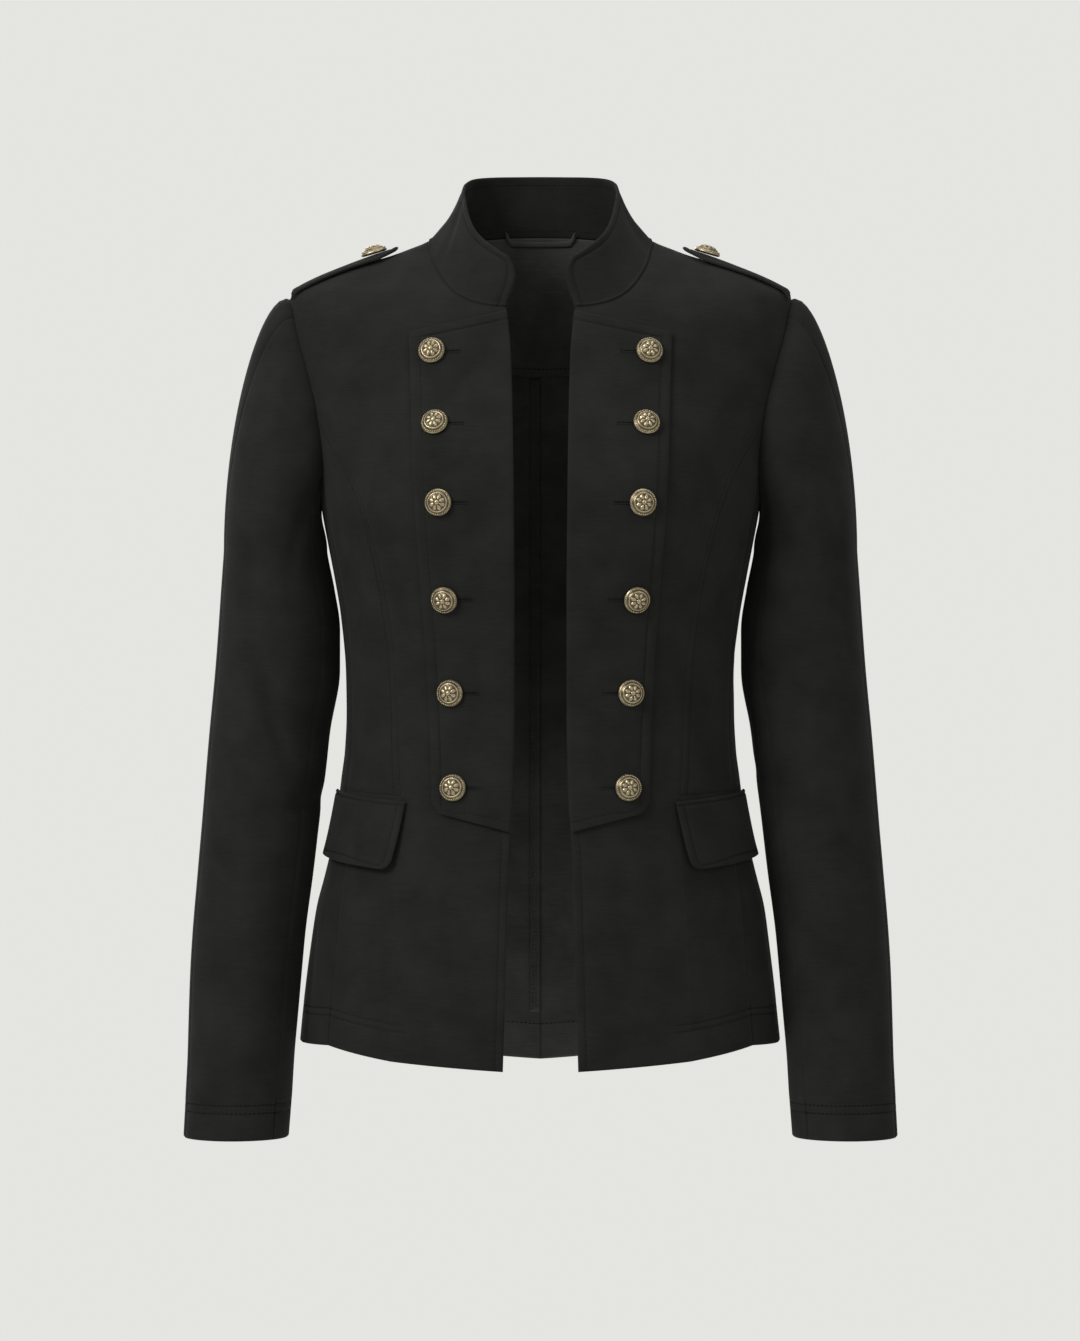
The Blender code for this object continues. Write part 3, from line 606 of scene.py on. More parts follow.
class Panel:
    """One piece of cloth: its grid, the lengths to its edges and its two faces."""

    def __init__(self, grid, thickness, corner=None):
        self.grid = grid
        self.keep = np.ones((grid.shape[0] - 1, grid.shape[1] - 1), bool)
        points = grid[:, :, :3]
        wide = np.linalg.norm(np.diff(points, axis=1), axis=2)
        tall = np.linalg.norm(np.diff(points, axis=0), axis=2)
        s = np.concatenate([np.zeros((grid.shape[0], 1)), np.cumsum(wide, axis=1)], axis=1)
        t = np.concatenate([np.zeros((1, grid.shape[1])), np.cumsum(tall, axis=0)], axis=0)
        right = s[:, -1:] - s
        top = t.copy()
        if corner:
            row, column = corner
            self.keep[:row, column - 1:] = False
            right[:row] = s[:row, column - 1:column] - s[:row]
            top[:, column:] = t[:, column:] - t[row:row + 1, column:]
        self.away = {"L": s, "R": right, "T": top, "B": t[-1:, :] - t}
        nearest = np.minimum.reduce([np.abs(self.away[k]) for k in "LRTB"])
        self.thick = np.full(nearest.shape, float(thickness))
        self.roll = 0.36 * np.exp(-(nearest / 0.7) ** 2)
        self.groove = np.zeros(nearest.shape)

    def sink(self, distance, names, depth=PRESS, where=None):
        """Presses a stitch line in at one distance from the named edges."""
        nearest = np.minimum.reduce([self.away[k] for k in names])
        amount = depth * np.exp(-((nearest - distance) / 0.85) ** 2)
        if where is not None:
            amount = amount * where
        self.groove = np.maximum(self.groove, amount)

    def turn_hem(self, depth, rows, where=None):
        """Thickens the turned hem on the inside and presses its stitch lines in."""
        self.thick += HEM_FOLD * np.clip(depth + 1.0 - self.away["B"], 0, 1)
        for at in rows:
            self.sink(at, "B", where=where)

    def faces(self):
        """Outer and inner points."""
        points, normals = self.grid[:, :, :3], self.grid[:, :, 3:6]
        out = self.roll * self.thick + self.groove
        outer = points - normals * out[:, :, None]
        inner = points - normals * (self.thick * (1 - self.roll))[:, :, None]
        return outer, inner

    def seam(self, name, distance, others="", inside=False):
        """Points and directions along a stitch line at a distance from one edge."""
        away = self.away[name]
        outer, inner = self.faces()
        line = []
        down = name in "LR"
        for k in range(away.shape[0] if down else away.shape[1]):
            spots = away[k] if down else away[:, k]
            m = int(np.argmin(np.abs(spots - distance)))
            i, j = (k, m) if down else (m, k)
            if abs(spots[m] - distance) > 1.5:
                continue
            if any(self.away[o][i, j] < distance - 0.3 for o in others):
                continue
            normal = self.grid[i, j, 3:6]
            line.append((inner[i, j], -normal) if inside else (outer[i, j], normal))
        return line

    def seams(self, names, distance):
        """Stitch lines along the named edges, each ending short of those it meets."""
        return [self.seam(name, distance, [o for o in names if (o in "LR") != (name in "LR")])
                for name in names]

    def hem_lines(self, rows):
        """The stitch lines of the hem."""
        return [self.seam("B", at) for at in rows]


def mirrored(side):
    """The factor that takes the wearer's left to the asked side."""
    return np.array([side, 1.0, 1.0])


def cloth_object(name, panel, side, settings):
    """Makes a panel's object, on the frame's body and in place of the CAD node of its name."""
    material = cloth_material(settings)
    # Inner faces take the brighter copy of the knit, which is painted light; the collar's take the
    # knit itself.
    inner_material = material if name == "collar" else painted_light_inside_material(settings)
    outer, inner = panel.faces()
    outer, inner = outer * mirrored(side) * MM, inner * mirrored(side) * MM
    rows, columns = panel.keep.shape
    mesh = bmesh.new()
    bmesh.ops.create_grid(mesh, x_segments=columns, y_segments=rows, size=1)
    place = mesh.verts.layers.int.new("place")
    for vert in mesh.verts:
        j = round((vert.co.x + 1) / 2 * columns)
        i = round((vert.co.y + 1) / 2 * rows)
        vert[place] = i * (columns + 1) + j
    if not panel.keep.all():
        dropped = []
        for face in mesh.faces:
            spots = [vert[place] for vert in face.verts]
            i = min(spot // (columns + 1) for spot in spots)
            j = min(spot % (columns + 1) for spot in spots)
            if not panel.keep[i, j]:
                dropped.append(face)
        bmesh.ops.delete(mesh, geom=dropped, context="FACES")
    for vert in mesh.verts:
        i, j = divmod(vert[place], columns + 1)
        vert.co = outer[i, j]
    grown = bmesh.ops.extrude_face_region(mesh, geom=mesh.faces[:], use_keep_orig=True)
    for item in grown["geom"]:
        if isinstance(item, bmesh.types.BMVert):
            i, j = divmod(item[place], columns + 1)
            item.co = inner[i, j]
        if isinstance(item, bmesh.types.BMFace):
            item.material_index = 1
    mesh.verts.layers.int.remove(place)
    mesh.normal_update()
    bmesh.ops.recalc_face_normals(mesh, faces=mesh.faces[:])
    thing = finished(name + "_cloth", mesh, [material, inner_material])
    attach(thing, "root")
    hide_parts(name)


def finished(name, mesh, materials, smooth_faces=True):
    """A mesh object in the blazer's collection."""
    for face in mesh.faces:
        face.smooth = smooth_faces
    data = bpy.data.meshes.new(name)
    mesh.to_mesh(data)
    mesh.free()
    for material in materials:
        data.materials.append(material)
    thing = bpy.data.objects.new(name, data)
    garment = bpy.data.collections.get("Blazer looks")
    if garment is None:
        garment = bpy.data.collections.new("Blazer looks")
        bpy.context.scene.collection.children.link(garment)
    garment.objects.link(thing)
    return thing


def stitch_row(grains, line, side, settings):
    """Adds one row of stitches along a line of points and directions."""
    if len(line) < 2:
        return
    points = np.array([spot for spot, _ in line]) * mirrored(side)
    normals = np.array([normal for _, normal in line]) * mirrored(side)
    reach = reach_of(points)
    at = STITCH_PITCH / 2
    while at < reach[-1] - STITCH_LENGTH / 2:
        spot, ahead = value_at(points, reach, at), value_at(points, reach, at + 0.8)
        add_stitch(grains, spot, ahead - spot, value_at(normals, reach, at),
                   STITCH_LENGTH, settings.thread_width)
        at += STITCH_PITCH


def value_at(values, reach, at):
    """A point or direction at a length along its line."""
    return np.array([np.interp(at, reach, values[:, k]) for k in range(3)])


def add_stitch(grains, spot, way, normal, long, wide, lift=STITCH_LIFT):
    """One stitch: the placing of a small rounded grain of thread."""
    normal = Vector(normal).normalized()
    way = Vector(way)
    way = (way - normal * way.dot(normal)).normalized()
    across = normal.cross(way)
    centre = (Vector(spot) + normal * lift) * MM
    turn = Matrix((across, normal, way)).transposed()
    size = Matrix.Diagonal((wide / 2 * MM, wide * 0.42 * MM, long / 2 * MM))
    grains.append(Matrix.Translation(centre) @ (turn @ size).to_4x4())


def grain_mesh(grains, around=6, along=4):
    """A mesh with a small sphere at every placing."""
    seed = bmesh.new()
    bmesh.ops.create_uvsphere(seed, u_segments=around, v_segments=along, radius=1.0)
    template = bpy.data.meshes.new("grain")
    seed.to_mesh(template)
    seed.free()
    each = len(template.vertices)
    mesh = bmesh.new()
    for _ in grains:
        mesh.from_mesh(template)
    for k, vert in enumerate(mesh.verts):
        vert.co = grains[k // each] @ vert.co
    bpy.data.meshes.remove(template)
    return mesh


def grain_object(name, grains, material):
    """One object holding many grains, on the frame's body."""
    thing = finished(name, grain_mesh(grains), [material])
    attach(thing, "root")


def sewing(name, lines, side, settings):
    """One object from several rows of stitches."""
    grains = []
    for line in lines:
        stitch_row(grains, line, side, settings)
    grain_object(name, grains, thread_material(settings))


def shader_nodes(name):
    """A new node material with its nodes, its links and its shader, ready to be wired."""
    material = bpy.data.materials.new(name)
    material.use_nodes = True
    nodes = material.node_tree.nodes
    return material, nodes, material.node_tree.links, nodes["Principled BSDF"]


def fill(node, **values):
    """Sets a node's inputs by name, with low lines for the spaces."""
    for name, value in values.items():
        node.inputs[name.replace("_", " ")].default_value = value
    return node


def ramp_node(nodes, colour, *stops):
    """A colour ramp whose stops hold a place and a share of one colour."""
    ramp = nodes.new("ShaderNodeValToRGB")
    for element, (place, share) in zip(ramp.color_ramp.elements, stops):
        element.position = place
        element.color = (*(np.array(colour) * share), 1.0)
    return ramp


def noise_node(nodes, links, vector, **values):
    """A noise texture at the places of a socket."""
    noise = fill(nodes.new("ShaderNodeTexNoise"), **values)
    links.new(vector, noise.inputs["Vector"])
    return noise


def cloth_material(settings, name="Charcoal knit", tone=1.0):
    """Dense charcoal knit: fine level slubs, a soft mottle and a short nap."""
    if name in bpy.data.materials:
        return bpy.data.materials[name]
    material, nodes, links, shader = shader_nodes(name)
    place = nodes.new("ShaderNodeTexCoord").outputs["Object"]
    stretch = fill(nodes.new("ShaderNodeMapping"), Scale=(70.0, 70.0, 900.0))
    links.new(place, stretch.inputs["Vector"])
    slub = noise_node(nodes, links, stretch.outputs["Vector"],
                      Scale=1.0, Detail=3.0, Roughness=0.65)
    cloud = noise_node(nodes, links, place, Scale=34.0, Detail=4.0)
    grain = noise_node(nodes, links, place, Scale=1500.0, Detail=2.0)
    mix = nodes.new("ShaderNodeMath")
    mix.operation = "MULTIPLY_ADD"
    mix.inputs[1].default_value = 0.55
    # A tone above 1 gives a brighter copy of the knit, which is painted light.
    base = np.array(settings.cloth_colour[:3]) * tone
    ramp = ramp_node(nodes, base, (0.42, 0.72), (1.12, 1.38))
    height = nodes.new("ShaderNodeMath")
    height.operation = "ADD"
    bump = fill(nodes.new("ShaderNodeBump"), Strength=0.35, Distance=0.00035)
    links.new(slub.outputs["Fac"], mix.inputs[0])
    links.new(cloud.outputs["Fac"], mix.inputs[2])
    links.new(mix.outputs["Value"], ramp.inputs["Fac"])
    links.new(ramp.outputs["Color"], shader.inputs["Base Color"])
    links.new(slub.outputs["Fac"], height.inputs[0])
    links.new(grain.outputs["Fac"], height.inputs[1])
    links.new(height.outputs["Value"], bump.inputs["Height"])
    links.new(bump.outputs["Normal"], shader.inputs["Normal"])
    fill(shader, Roughness=0.88, Specular_IOR_Level=0.2, Sheen_Weight=0.08,
         Sheen_Roughness=0.45, Sheen_Tint=(0.75, 0.75, 0.73, 1.0))
    return material


def painted_light_inside_material(settings):
    """The same knit for what shows inside, in a paler tone 4.2 times brighter, which is painted
    light on the inner faces.
    """
    return cloth_material(settings, "Charcoal knit inside", 4.2)


def thread_material(settings, name="Charcoal thread", tone=0.2):
    """Tonal sewing thread with a slight lustre. At the default tone of 0.2 it is far darker than
    the cloth, which is painted shade of the stitch grooves.
    """
    if name in bpy.data.materials:
        return bpy.data.materials[name]
    material, _, _, shader = shader_nodes(name)
    base = np.array(settings.cloth_colour[:3]) * tone
    fill(shader, Base_Color=(*base, 1.0), Roughness=0.55, Specular_IOR_Level=0.4)
    return material


def slit_shade_material():
    """Painted shade: a near-black for the opening of a buttonhole."""
    name = "Buttonhole opening"
    if name in bpy.data.materials:
        return bpy.data.materials[name]
    material, _, _, shader = shader_nodes(name)
    fill(shader, Base_Color=(0.002, 0.002, 0.002, 1.0), Roughness=1.0)
    return material


def brass_material(settings):
    """Antique brass with darker stains, and painted shade in its hollows from the buttons'
    per-vertex shade weight.
    """
    name = "Antique brass"
    if name in bpy.data.materials:
        return bpy.data.materials[name]
    material, nodes, links, shader = shader_nodes(name)
    place = nodes.new("ShaderNodeTexCoord").outputs["Object"]
    stain = noise_node(nodes, links, place, Scale=700.0, Detail=5.0)
    recess_shade = nodes.new("ShaderNodeAttribute")
    recess_shade.attribute_name = "recess_shade"
    shade = nodes.new("ShaderNodeMix")
    shade.data_type = "RGBA"
    # Near-black brown of the painted shade in the hollows.
    shade.inputs[7].default_value = (0.055, 0.038, 0.014, 1.0)
    ramp = ramp_node(nodes, settings.brass_colour[:3], (0.36, 0.75), (0.62, 1.0))
    links.new(stain.outputs["Fac"], ramp.inputs["Fac"])
    links.new(recess_shade.outputs["Fac"], shade.inputs[0])
    links.new(ramp.outputs["Color"], shade.inputs[6])
    links.new(shade.outputs[2], shader.inputs["Base Color"])
    fill(shader, Metallic=1.0, Roughness=0.36)
    return material


def make_body(settings, side, word):
    """The four torso panels of one side with their sewing."""
    ring = armhole_places()
    edge = front_edge_line()
    princess = seam_line("princess", PRINCESS)
    side_front = seam_line("side_front", SIDE_PANEL_FRONT)
    side_back = seam_line("side_back", SIDE_PANEL_BACK)
    centre = [(180.0, height) for height in line_heights("centre_back")]
    princess[0], side_front[0], side_back[0] = ring[1][0], ring[2][0], ring[3][0]
    hem = stitched(EDGE, *HEM_ROWS)

    def folded(places):
        return body_folds(on_body(places), side, settings)

    def neck_line(first, last):
        return spread([neck_place(row) for row in np.linspace(first, last, 200)], NECK_ROWS)

    neck = neck_line(SIDE_NECK, 0)
    edge[0] = neck[-1]
    places = body_grid(neck[:-1] + edge, ring[0][:-1] + princess, 6 * FINE)
    for k, row in enumerate(places):
        row += between(row[-1], side_front[max(k - NECK_ROWS, 0)], 3 * FINE)[1:]
    lead = stitched(EDGE, TOP_ROW)
    grid = recut(folded(places), [(lead, 22, SEAM), (SEAM, 9, SEAM)], 6 * FINE)
    grid = recut_down(grid, [(SEAM, 24, KNOT), (AFTER_KNOT, 60, SEAM), (SEAM[1:], 26, hem)],
                      NECK_ROWS, NECK_ROWS + POCKET_ROW)
    panel = Panel(grid, CLOTH, (len(SEAM) + 24 + 1 + 2 + 60 + 2, len(lead) + 22 + 3))
    panel.sink(TOP_ROW, "L", where=(grid[:, :, 7] < BELOW_PLASTRON + 5).astype(float))
    panel.turn_hem(HEM_DEPTH, HEM_ROWS, (np.abs(grid[:, :, 0]) > FACING_EDGE).astype(float))
    cloth_object("front_" + word, panel, side, settings)
    lines = [[(p, n) for p, n in panel.seam("L", TOP_ROW) if p[2] < BELOW_PLASTRON]]
    lines += [[(p, n) for p, n in line if abs(p[0]) > FACING_EDGE]
              for line in panel.hem_lines(HEM_ROWS)]

    tops = body_grid(princess[:POCKET_ROW + 1], side_front[:POCKET_ROW + 1], 3 * FINE)
    tops[0] = ring[1]
    panel = Panel(refine(folded(tops), (stitched(SEAM, PRINCESS_ROW), 8, SEAM),
                         (SEAM, 60, SEAM)), CLOTH)
    panel.sink(PRINCESS_ROW, "L", 0.45)
    cloth_object("side_front_" + word, panel, side, settings)
    lines.append(panel.seam("L", PRINCESS_ROW))

    places = body_grid(side_front, side_back, 4 * FINE)
    places[0] = ring[2]
    panel = Panel(refine(folded(places), (SEAM, 16, SEAM), (SEAM, 84, hem)), CLOTH)
    panel.turn_hem(HEM_DEPTH, HEM_ROWS)
    cloth_object("side_" + word, panel, side, settings)
    lines += panel.hem_lines(HEM_ROWS)

    neck = neck_line(SIDE_NECK + 0.001, len(COLLAR) - 1)
    start, nape = centre[0][1], neck[-1][1]
    drop = BACK_ROWS - NECK_ROWS
    upper = neck + [(180.0, nape + (start - nape) * k / drop) for k in range(1, drop)]
    places = body_grid(ring[3][::-1][:-1] + side_back, upper + centre, 6 * FINE)
    grid = recut(folded(places), [(SEAM, 26, SEAM)])
    grid = recut_down(grid, [(SEAM, 24, KNOT), (AFTER_KNOT, 10, KNOT), (AFTER_KNOT, 84, hem)],
                      NECK_ROWS, BACK_ROWS)
    panel = Panel(grid, CLOTH)
    panel.turn_hem(HEM_DEPTH, HEM_ROWS)
    cloth_object("back_" + word, panel, side, settings)
    lines += panel.hem_lines(HEM_ROWS)
    lines.append(panel.seam("B", HEM_ROWS[1], inside=True))
    sewing("body_sewing_" + word, lines, side, settings)


def sleeve_grid(side, settings):
    """Points of one whole sleeve with its folds, rows down, columns round it."""
    ring = armhole_places()
    places = ring[0] + ring[1][1:] + ring[2][1:] + ring[3][1:]
    cap = list(np.linspace(0, 1, 26))
    heights = list(np.linspace(SLEEVE_TOP, SLEEVE_END, 76))[1:]
    columns, turns = [], []
    for k, place in enumerate(places):
        degrees = smooth(SLEEVE_TURN, 1, k / FINE)
        turn = math.radians(degrees)
        start = body_point(*place) + body_normal(*place) * SLEEVE_LIFT

        def section(height):
            inner, outer = smooth(SLEEVE, 1, height), smooth(SLEEVE, 2, height)
            return np.array([(inner + outer) / 2 + (outer - inner) / 2 * math.cos(turn),
                             smooth(SLEEVE, 4, height) - smooth(SLEEVE, 3, height) * math.sin(turn),
                             height])

        end = section(SLEEVE_TOP)
        low = (1 - math.cos(turn)) ** 2 / 4
        lead = np.array([0.65 + 0.35 * math.cos(turn), -0.8 * math.sin(turn),
                         0.38 * max(math.cos(turn), 0) ** 3 - low])
        lead *= smooth(SLEEVE_TURN, 2, k / FINE) / np.linalg.norm(lead)
        trail = np.array([0, 0, 0.55 * (start[2] - end[2])])
        back, under = SLEEVE_TUCK
        column = [start - lead / np.linalg.norm(lead) * back - body_normal(*place) * under]
        for step in cap:
            rest = 1 - step
            column.append(start * rest ** 3 + (start + lead) * 3 * rest * rest * step
                          + (end + trail) * 3 * rest * step * step + end * step ** 3)
        column += [section(height) for height in heights]
        columns.append(column)
        turns.append(degrees)
    points = np.array(columns).transpose(1, 0, 2)
    normals = -grid_normals(points, around=True)
    across = np.broadcast_to(np.array(turns)[None, :], points.shape[:2])
    fall = np.zeros(points.shape[:2])
    for turn, height, long, wide, tilt, depth in folds_of(SLEEVE_FOLDS, side):
        for wrap in (-360.0, 0.0, 360.0):
            fall += trough((across + wrap) * SLEEVE_DEGREE, points[:, :, 2],
                           (turn * SLEEVE_DEGREE, height), (long, wide), tilt, depth)
    steps = np.linalg.norm(np.diff(points, axis=0), axis=2)
    reach = np.concatenate([np.zeros((1, points.shape[1])), np.cumsum(steps, axis=0)])
    fall *= settings.fold_depth * (1 - np.exp(-(reach / FADE) ** 2))
    points = points - normals * fall[:, :, None]
    normals = -grid_normals(points, around=True)
    return np.concatenate([points, normals, across[:, :, None], points[:, :, 2:3]], axis=2)


def make_sleeves(settings, side, word):
    """The two pieces of one sleeve with the cuff's sewing."""
    grid = sleeve_grid(side, settings)
    a, b = SLEEVE_OUTER_SEAM * FINE, SLEEVE_INNER_SEAM * FINE
    order = list(range(b, grid.shape[1])) + list(range(1, a + 1))
    lines = []
    for name, part, count in (("sleeve_front_", grid[:, a:b + 1], 30),
                              ("sleeve_back_", grid[:, order], 52)):
        part = refine(part, (SEAM, count, SEAM), (SEAM, 108, stitched(EDGE, *CUFF_ROWS)))
        panel = Panel(part, CLOTH)
        panel.turn_hem(CUFF_DEPTH, CUFF_ROWS)
        cloth_object(name + word, panel, side, settings)
        lines += panel.hem_lines(CUFF_ROWS)
        sewing("sleeve_sewing_" + word, lines, side, settings)


def collar_half():
    """Rows of collar points from the front end to the nape, on the wearer's left."""
    count = 14 * FINE
    dense = [body_point(*neck_place(row)) for row in np.linspace(0, len(COLLAR) - 1, 481)]
    reach = np.concatenate([[0], np.cumsum([np.linalg.norm(b - a)
                                            for a, b in zip(dense, dense[1:])])])
    table = [(reach[40 * k],) + line for k, line in enumerate(COLLAR)]
    columns = []
    for at in np.linspace(0, reach[-1], count + 1):
        point = np.array([np.interp(at, reach, [d[k] for d in dense]) for k in range(3)])
        top = np.array([smooth(table, c, at) for c in (4, 5, 6)])
        column = []
        foot = -COLLAR_FOOT / np.linalg.norm(top - point)
        for share in [foot] + list(np.linspace(0, 1, 19)):
            arch = math.sin(math.pi * max(share, 0.0) ** 1.25)
            rounding = math.exp(-at / 12.0) * arch
            flare = math.sin(math.pi * max(share, 0.0)) * 3.0
            flare *= math.exp(-((at - 112) / 60) ** 2)
            spot = point + (top - point) * share
            lean = np.array([-spot[0], 0.0, 0.0]) / max(abs(spot[0]), 1e-6)
            column.append(spot + lean * (6.5 * rounding + flare)
                          + np.array([0, 0, 2.5 * rounding]))
        columns.append(column)
    return np.array(columns).transpose(1, 0, 2)


def make_collar(settings):
    """The stand collar with its top stitching and the ridge over its seam."""
    left = collar_half()
    right = left[:, :-1] * np.array([-1, 1, 1])
    points = np.concatenate([right, left[:, ::-1]], axis=1)
    normals = grid_normals(points)
    along = np.broadcast_to(np.linspace(-1, 1, points.shape[1])[None, :, None],
                            points.shape[:2] + (1,))
    grid = np.concatenate([points, normals, along, points[:, :, 2:3]], axis=2)
    fall = np.zeros(points.shape[:2])
    for place, up, long, wide, tilt, depth in COLLAR_FOLDS:
        fall += trough(along[:, :, 0] * COLLAR_SPAN,
                       np.linspace(0, 48, points.shape[0])[:, None],
                       (place * COLLAR_SPAN, up), (long, wide), tilt, depth)
    grid[:, :, :3] -= normals * (fall * settings.fold_depth)[:, :, None]
    rim = stitched(EDGE, TOP_ROW)
    foot = (0.0, 1.2, 2.2, 2.6, 3.0, 3.4, 3.8, 4.4, 5.2, 6.4)
    panel = Panel(refine(grid, (rim, 104, rim), (foot, 9, rim)), COLLAR_CLOTH)
    panel.sink(TOP_ROW, "LRB", THICK_PRESS)
    panel.groove -= 0.9 * np.exp(-((panel.away["T"] - COLLAR_FOOT - 1.3) / 0.7) ** 2)
    cloth_object("collar", panel, 1, settings)
    lines = panel.seams("BLR", TOP_ROW)
    lines += [panel.seam("B", TOP_ROW, "LR", inside=True),
              panel.seam("T", COLLAR_INNER_ROW, inside=True)]
    sewing("collar_sewing", lines, 1, settings)


def inset(radius, away):
    """How far a rounded corner draws the side in, this far from the end."""
    if away >= radius:
        return 0.0
    return radius - math.sqrt(max(radius ** 2 - (radius - away) ** 2, 0.0))


def ladder(size, near, far, count):
    """Distances along a side, fine at both ends, where the corners are rounded."""
    trail = [size - d for d in far][::-1]
    return list(near) + list(np.linspace(near[-1], trail[0], count + 2)[1:-1]) + trail


def plastron_place(share, along):
    """Angle and height on a plastron flap."""
    outer = smooth(PLASTRON, 1, along)
    edge_height = smooth(PLASTRON, 3, along)
    height = edge_height + (smooth(PLASTRON, 2, along) - edge_height) * share
    inner = smooth(FRONT_EDGE, 1, edge_height)
    across = inner + (outer - inner) * share
    return angle_at(across, height), height


def make_plastron(settings, side, word):
    """One flap of the front with its top stitching."""
    length, wide = PLASTRON_SIZE
    high, low = PLASTRON_CORNERS
    ends = CORNER + (5.5, 7.0, 7.6, 8.0, 8.4, 9.2, 11.0)
    rim = [x / wide for x in THICK_EDGE + (4.0, 6.8, 7.5, 8.0, 8.5, 9.2)]
    downs = ladder(length, ends, ends, 84)
    places = []
    for down in downs:
        end = 1 - (inset(high, down) + inset(low, length - down)) / wide
        places.append([plastron_place(s * end, down / length)
                       for s in ladder(1.0, (0.0, 0.002, 0.008, 0.018), rim, 22)])
    grid = on_body(places, PLASTRON_GAP + PLASTRON_CLOTH)
    fall = np.zeros(grid.shape[:2])
    for across, height, long, wide, tilt, depth in folds_of(PLASTRON_FOLDS, side):
        fall += trough(np.abs(grid[:, :, 0]), grid[:, :, 2], (across, height),
                       (long, wide), tilt, depth)
    spring = np.exp(-((np.abs(grid[:, :, 0]) - 24) / 26) ** 2) * 0.5
    grid[:, :, :3] -= grid[:, :, 3:6] * (fall * settings.fold_depth - spring)[:, :, None]
    panel = Panel(grid, PLASTRON_CLOTH)
    panel.sink(PLASTRON_ROW, "TRB", THICK_PRESS)
    cloth_object("plastron_" + word, panel, side, settings)
    sewing("plastron_sewing_" + word, panel.seams("RTB", PLASTRON_ROW), side, settings)


def make_flap(settings, side, word):
    """One pocket flap, standing out a little at the bottom."""
    front, back = FLAP["front"], FLAP["back"]
    wide, tall = FLAP["size"]
    near, front_low, back_low = FLAP["stand"]
    ends = CORNER + (5.0, 5.6, 6.0, 6.4, 7.2)
    steps = [x / wide for x in THICK_EDGE + (4.8, 5.5, 6.0, 6.5, 7.3)]
    places, lifts = [], []
    for down in ladder(tall, THICK_EDGE + (2.0, 2.6, 3.0, 3.4, 4.2), ends, 12):
        trim = inset(FLAP["corner"], tall - down) / wide
        row, lift = [], []
        for s in ladder(1.0, steps, steps, 30):
            s = trim + s * (1 - 2 * trim)
            top = (front[0] + (back[0] - front[0]) * s, front[1] + (back[1] - front[1]) * s)
            low = (front[2] + (back[2] - front[2]) * s, front[3] + (back[3] - front[3]) * s)
            fall = down / tall
            row.append((top[0] + (low[0] - top[0]) * fall, top[1] + (low[1] - top[1]) * fall))
            lift.append(near + (front_low + (back_low - front_low) * s - near) * fall
                        + 0.5 * math.sin(2.6 * math.pi * s + 0.6 * side) * fall ** 2)
        places.append(row)
        lifts.append(lift)
    grid = on_body(places)
    grid[:, :, :3] += grid[:, :, 3:6] * (np.array(lifts)[:, :, None] + FLAP_CLOTH)
    panel = Panel(grid, FLAP_CLOTH)
    panel.sink(TOP_ROW, "LRB", THICK_PRESS)
    panel.sink(FLAP_TOP_ROW, "T", THICK_PRESS)
    cloth_object("pocket_flap_" + word, panel, side, settings)
    sewing("pocket_sewing_" + word, panel.seams("BLR", TOP_ROW) + [panel.seam("T", FLAP_TOP_ROW)],
           side, settings)


def shoulder_place(across, y):
    """Angle and height of the point on top of the shoulder at this plan position."""
    low, high = -90.0, 14.0
    column = 3 if y > 0 else 2
    for _ in range(34):
        middle = (low + high) / 2
        reach = (across / section_size(1, middle)) ** ROUNDNESS
        reach += (abs(y) / section_size(column, middle)) ** ROUNDNESS
        if reach > 1:
            high = middle
        else:
            low = middle
    return angle_at(across, low, y > 0), low


def epaulette_lift(along):
    """How far the strap's underside stands off the shoulder there."""
    return EPAULETTE_GAP + EPAULETTE["lift"] * max(0.0, along - 0.45) ** 1.4


def make_epaulette(settings, side, word):
    """One shoulder strap with its top stitching."""
    outer, inner, half = EPAULETTE["outer"], EPAULETTE["inner"], EPAULETTE["half"]
    places, lifts = [], []
    tip = [x / (outer - inner) for x in THICK_EDGE + (3.4, 4.4, 5.0, 5.6, 6.6)]
    alongs = ladder(1.0, (0.0, 0.002, 0.008, 0.016), tip, 34)
    ends = THICK_EDGE + (3.6, 4.5, 5.0, 5.5, 6.4)
    shares = [x / half - 1 for x in ladder(half * 2, ends, ends, 14)]
    for along in alongs:
        row = []
        for share in shares:
            narrow = 1.0 - 0.1 * along
            back_off = 15.0 * abs(share) ** 2.2 * max(0.0, (along - 0.8) / 0.2)
            across = outer + (inner - outer) * along + back_off
            row.append(shoulder_place(across, -half * narrow * share))
        places.append(row)
        lifts.append([epaulette_lift(along) + 0.5 * math.sin(5.0 * along + side) * s * s
                      for s in shares])
    grid = on_body(places)
    grid[:, :, :3] += grid[:, :, 3:6] * (np.array(lifts)[:, :, None] + EPAULETTE_CLOTH)
    panel = Panel(grid, EPAULETTE_CLOTH)
    panel.sink(EPAULETTE_ROW, "LRB", THICK_PRESS)
    cloth_object("epaulette_" + word, panel, side, settings)
    sewing("epaulette_sewing_" + word, panel.seams("LRB", EPAULETTE_ROW), side, settings)


def button_seat(across, height, gap):
    """Where a plastron button's back sits, and which way it looks."""
    place = (angle_at(across, height), height)
    normal = body_normal(*place)
    return body_point(*place) + normal * (PLASTRON_GAP + PLASTRON_CLOTH + gap), normal


def shoulder_seat():
    """The same for the button of the epaulette."""
    place = shoulder_place(*EPAULETTE_BUTTON)
    share = (EPAULETTE["outer"] - EPAULETTE_BUTTON[0]) / (EPAULETTE["outer"] - EPAULETTE["inner"])
    normal = body_normal(*place)
    return body_point(*place) + normal * (epaulette_lift(share) + EPAULETTE_CLOTH + 0.5), normal


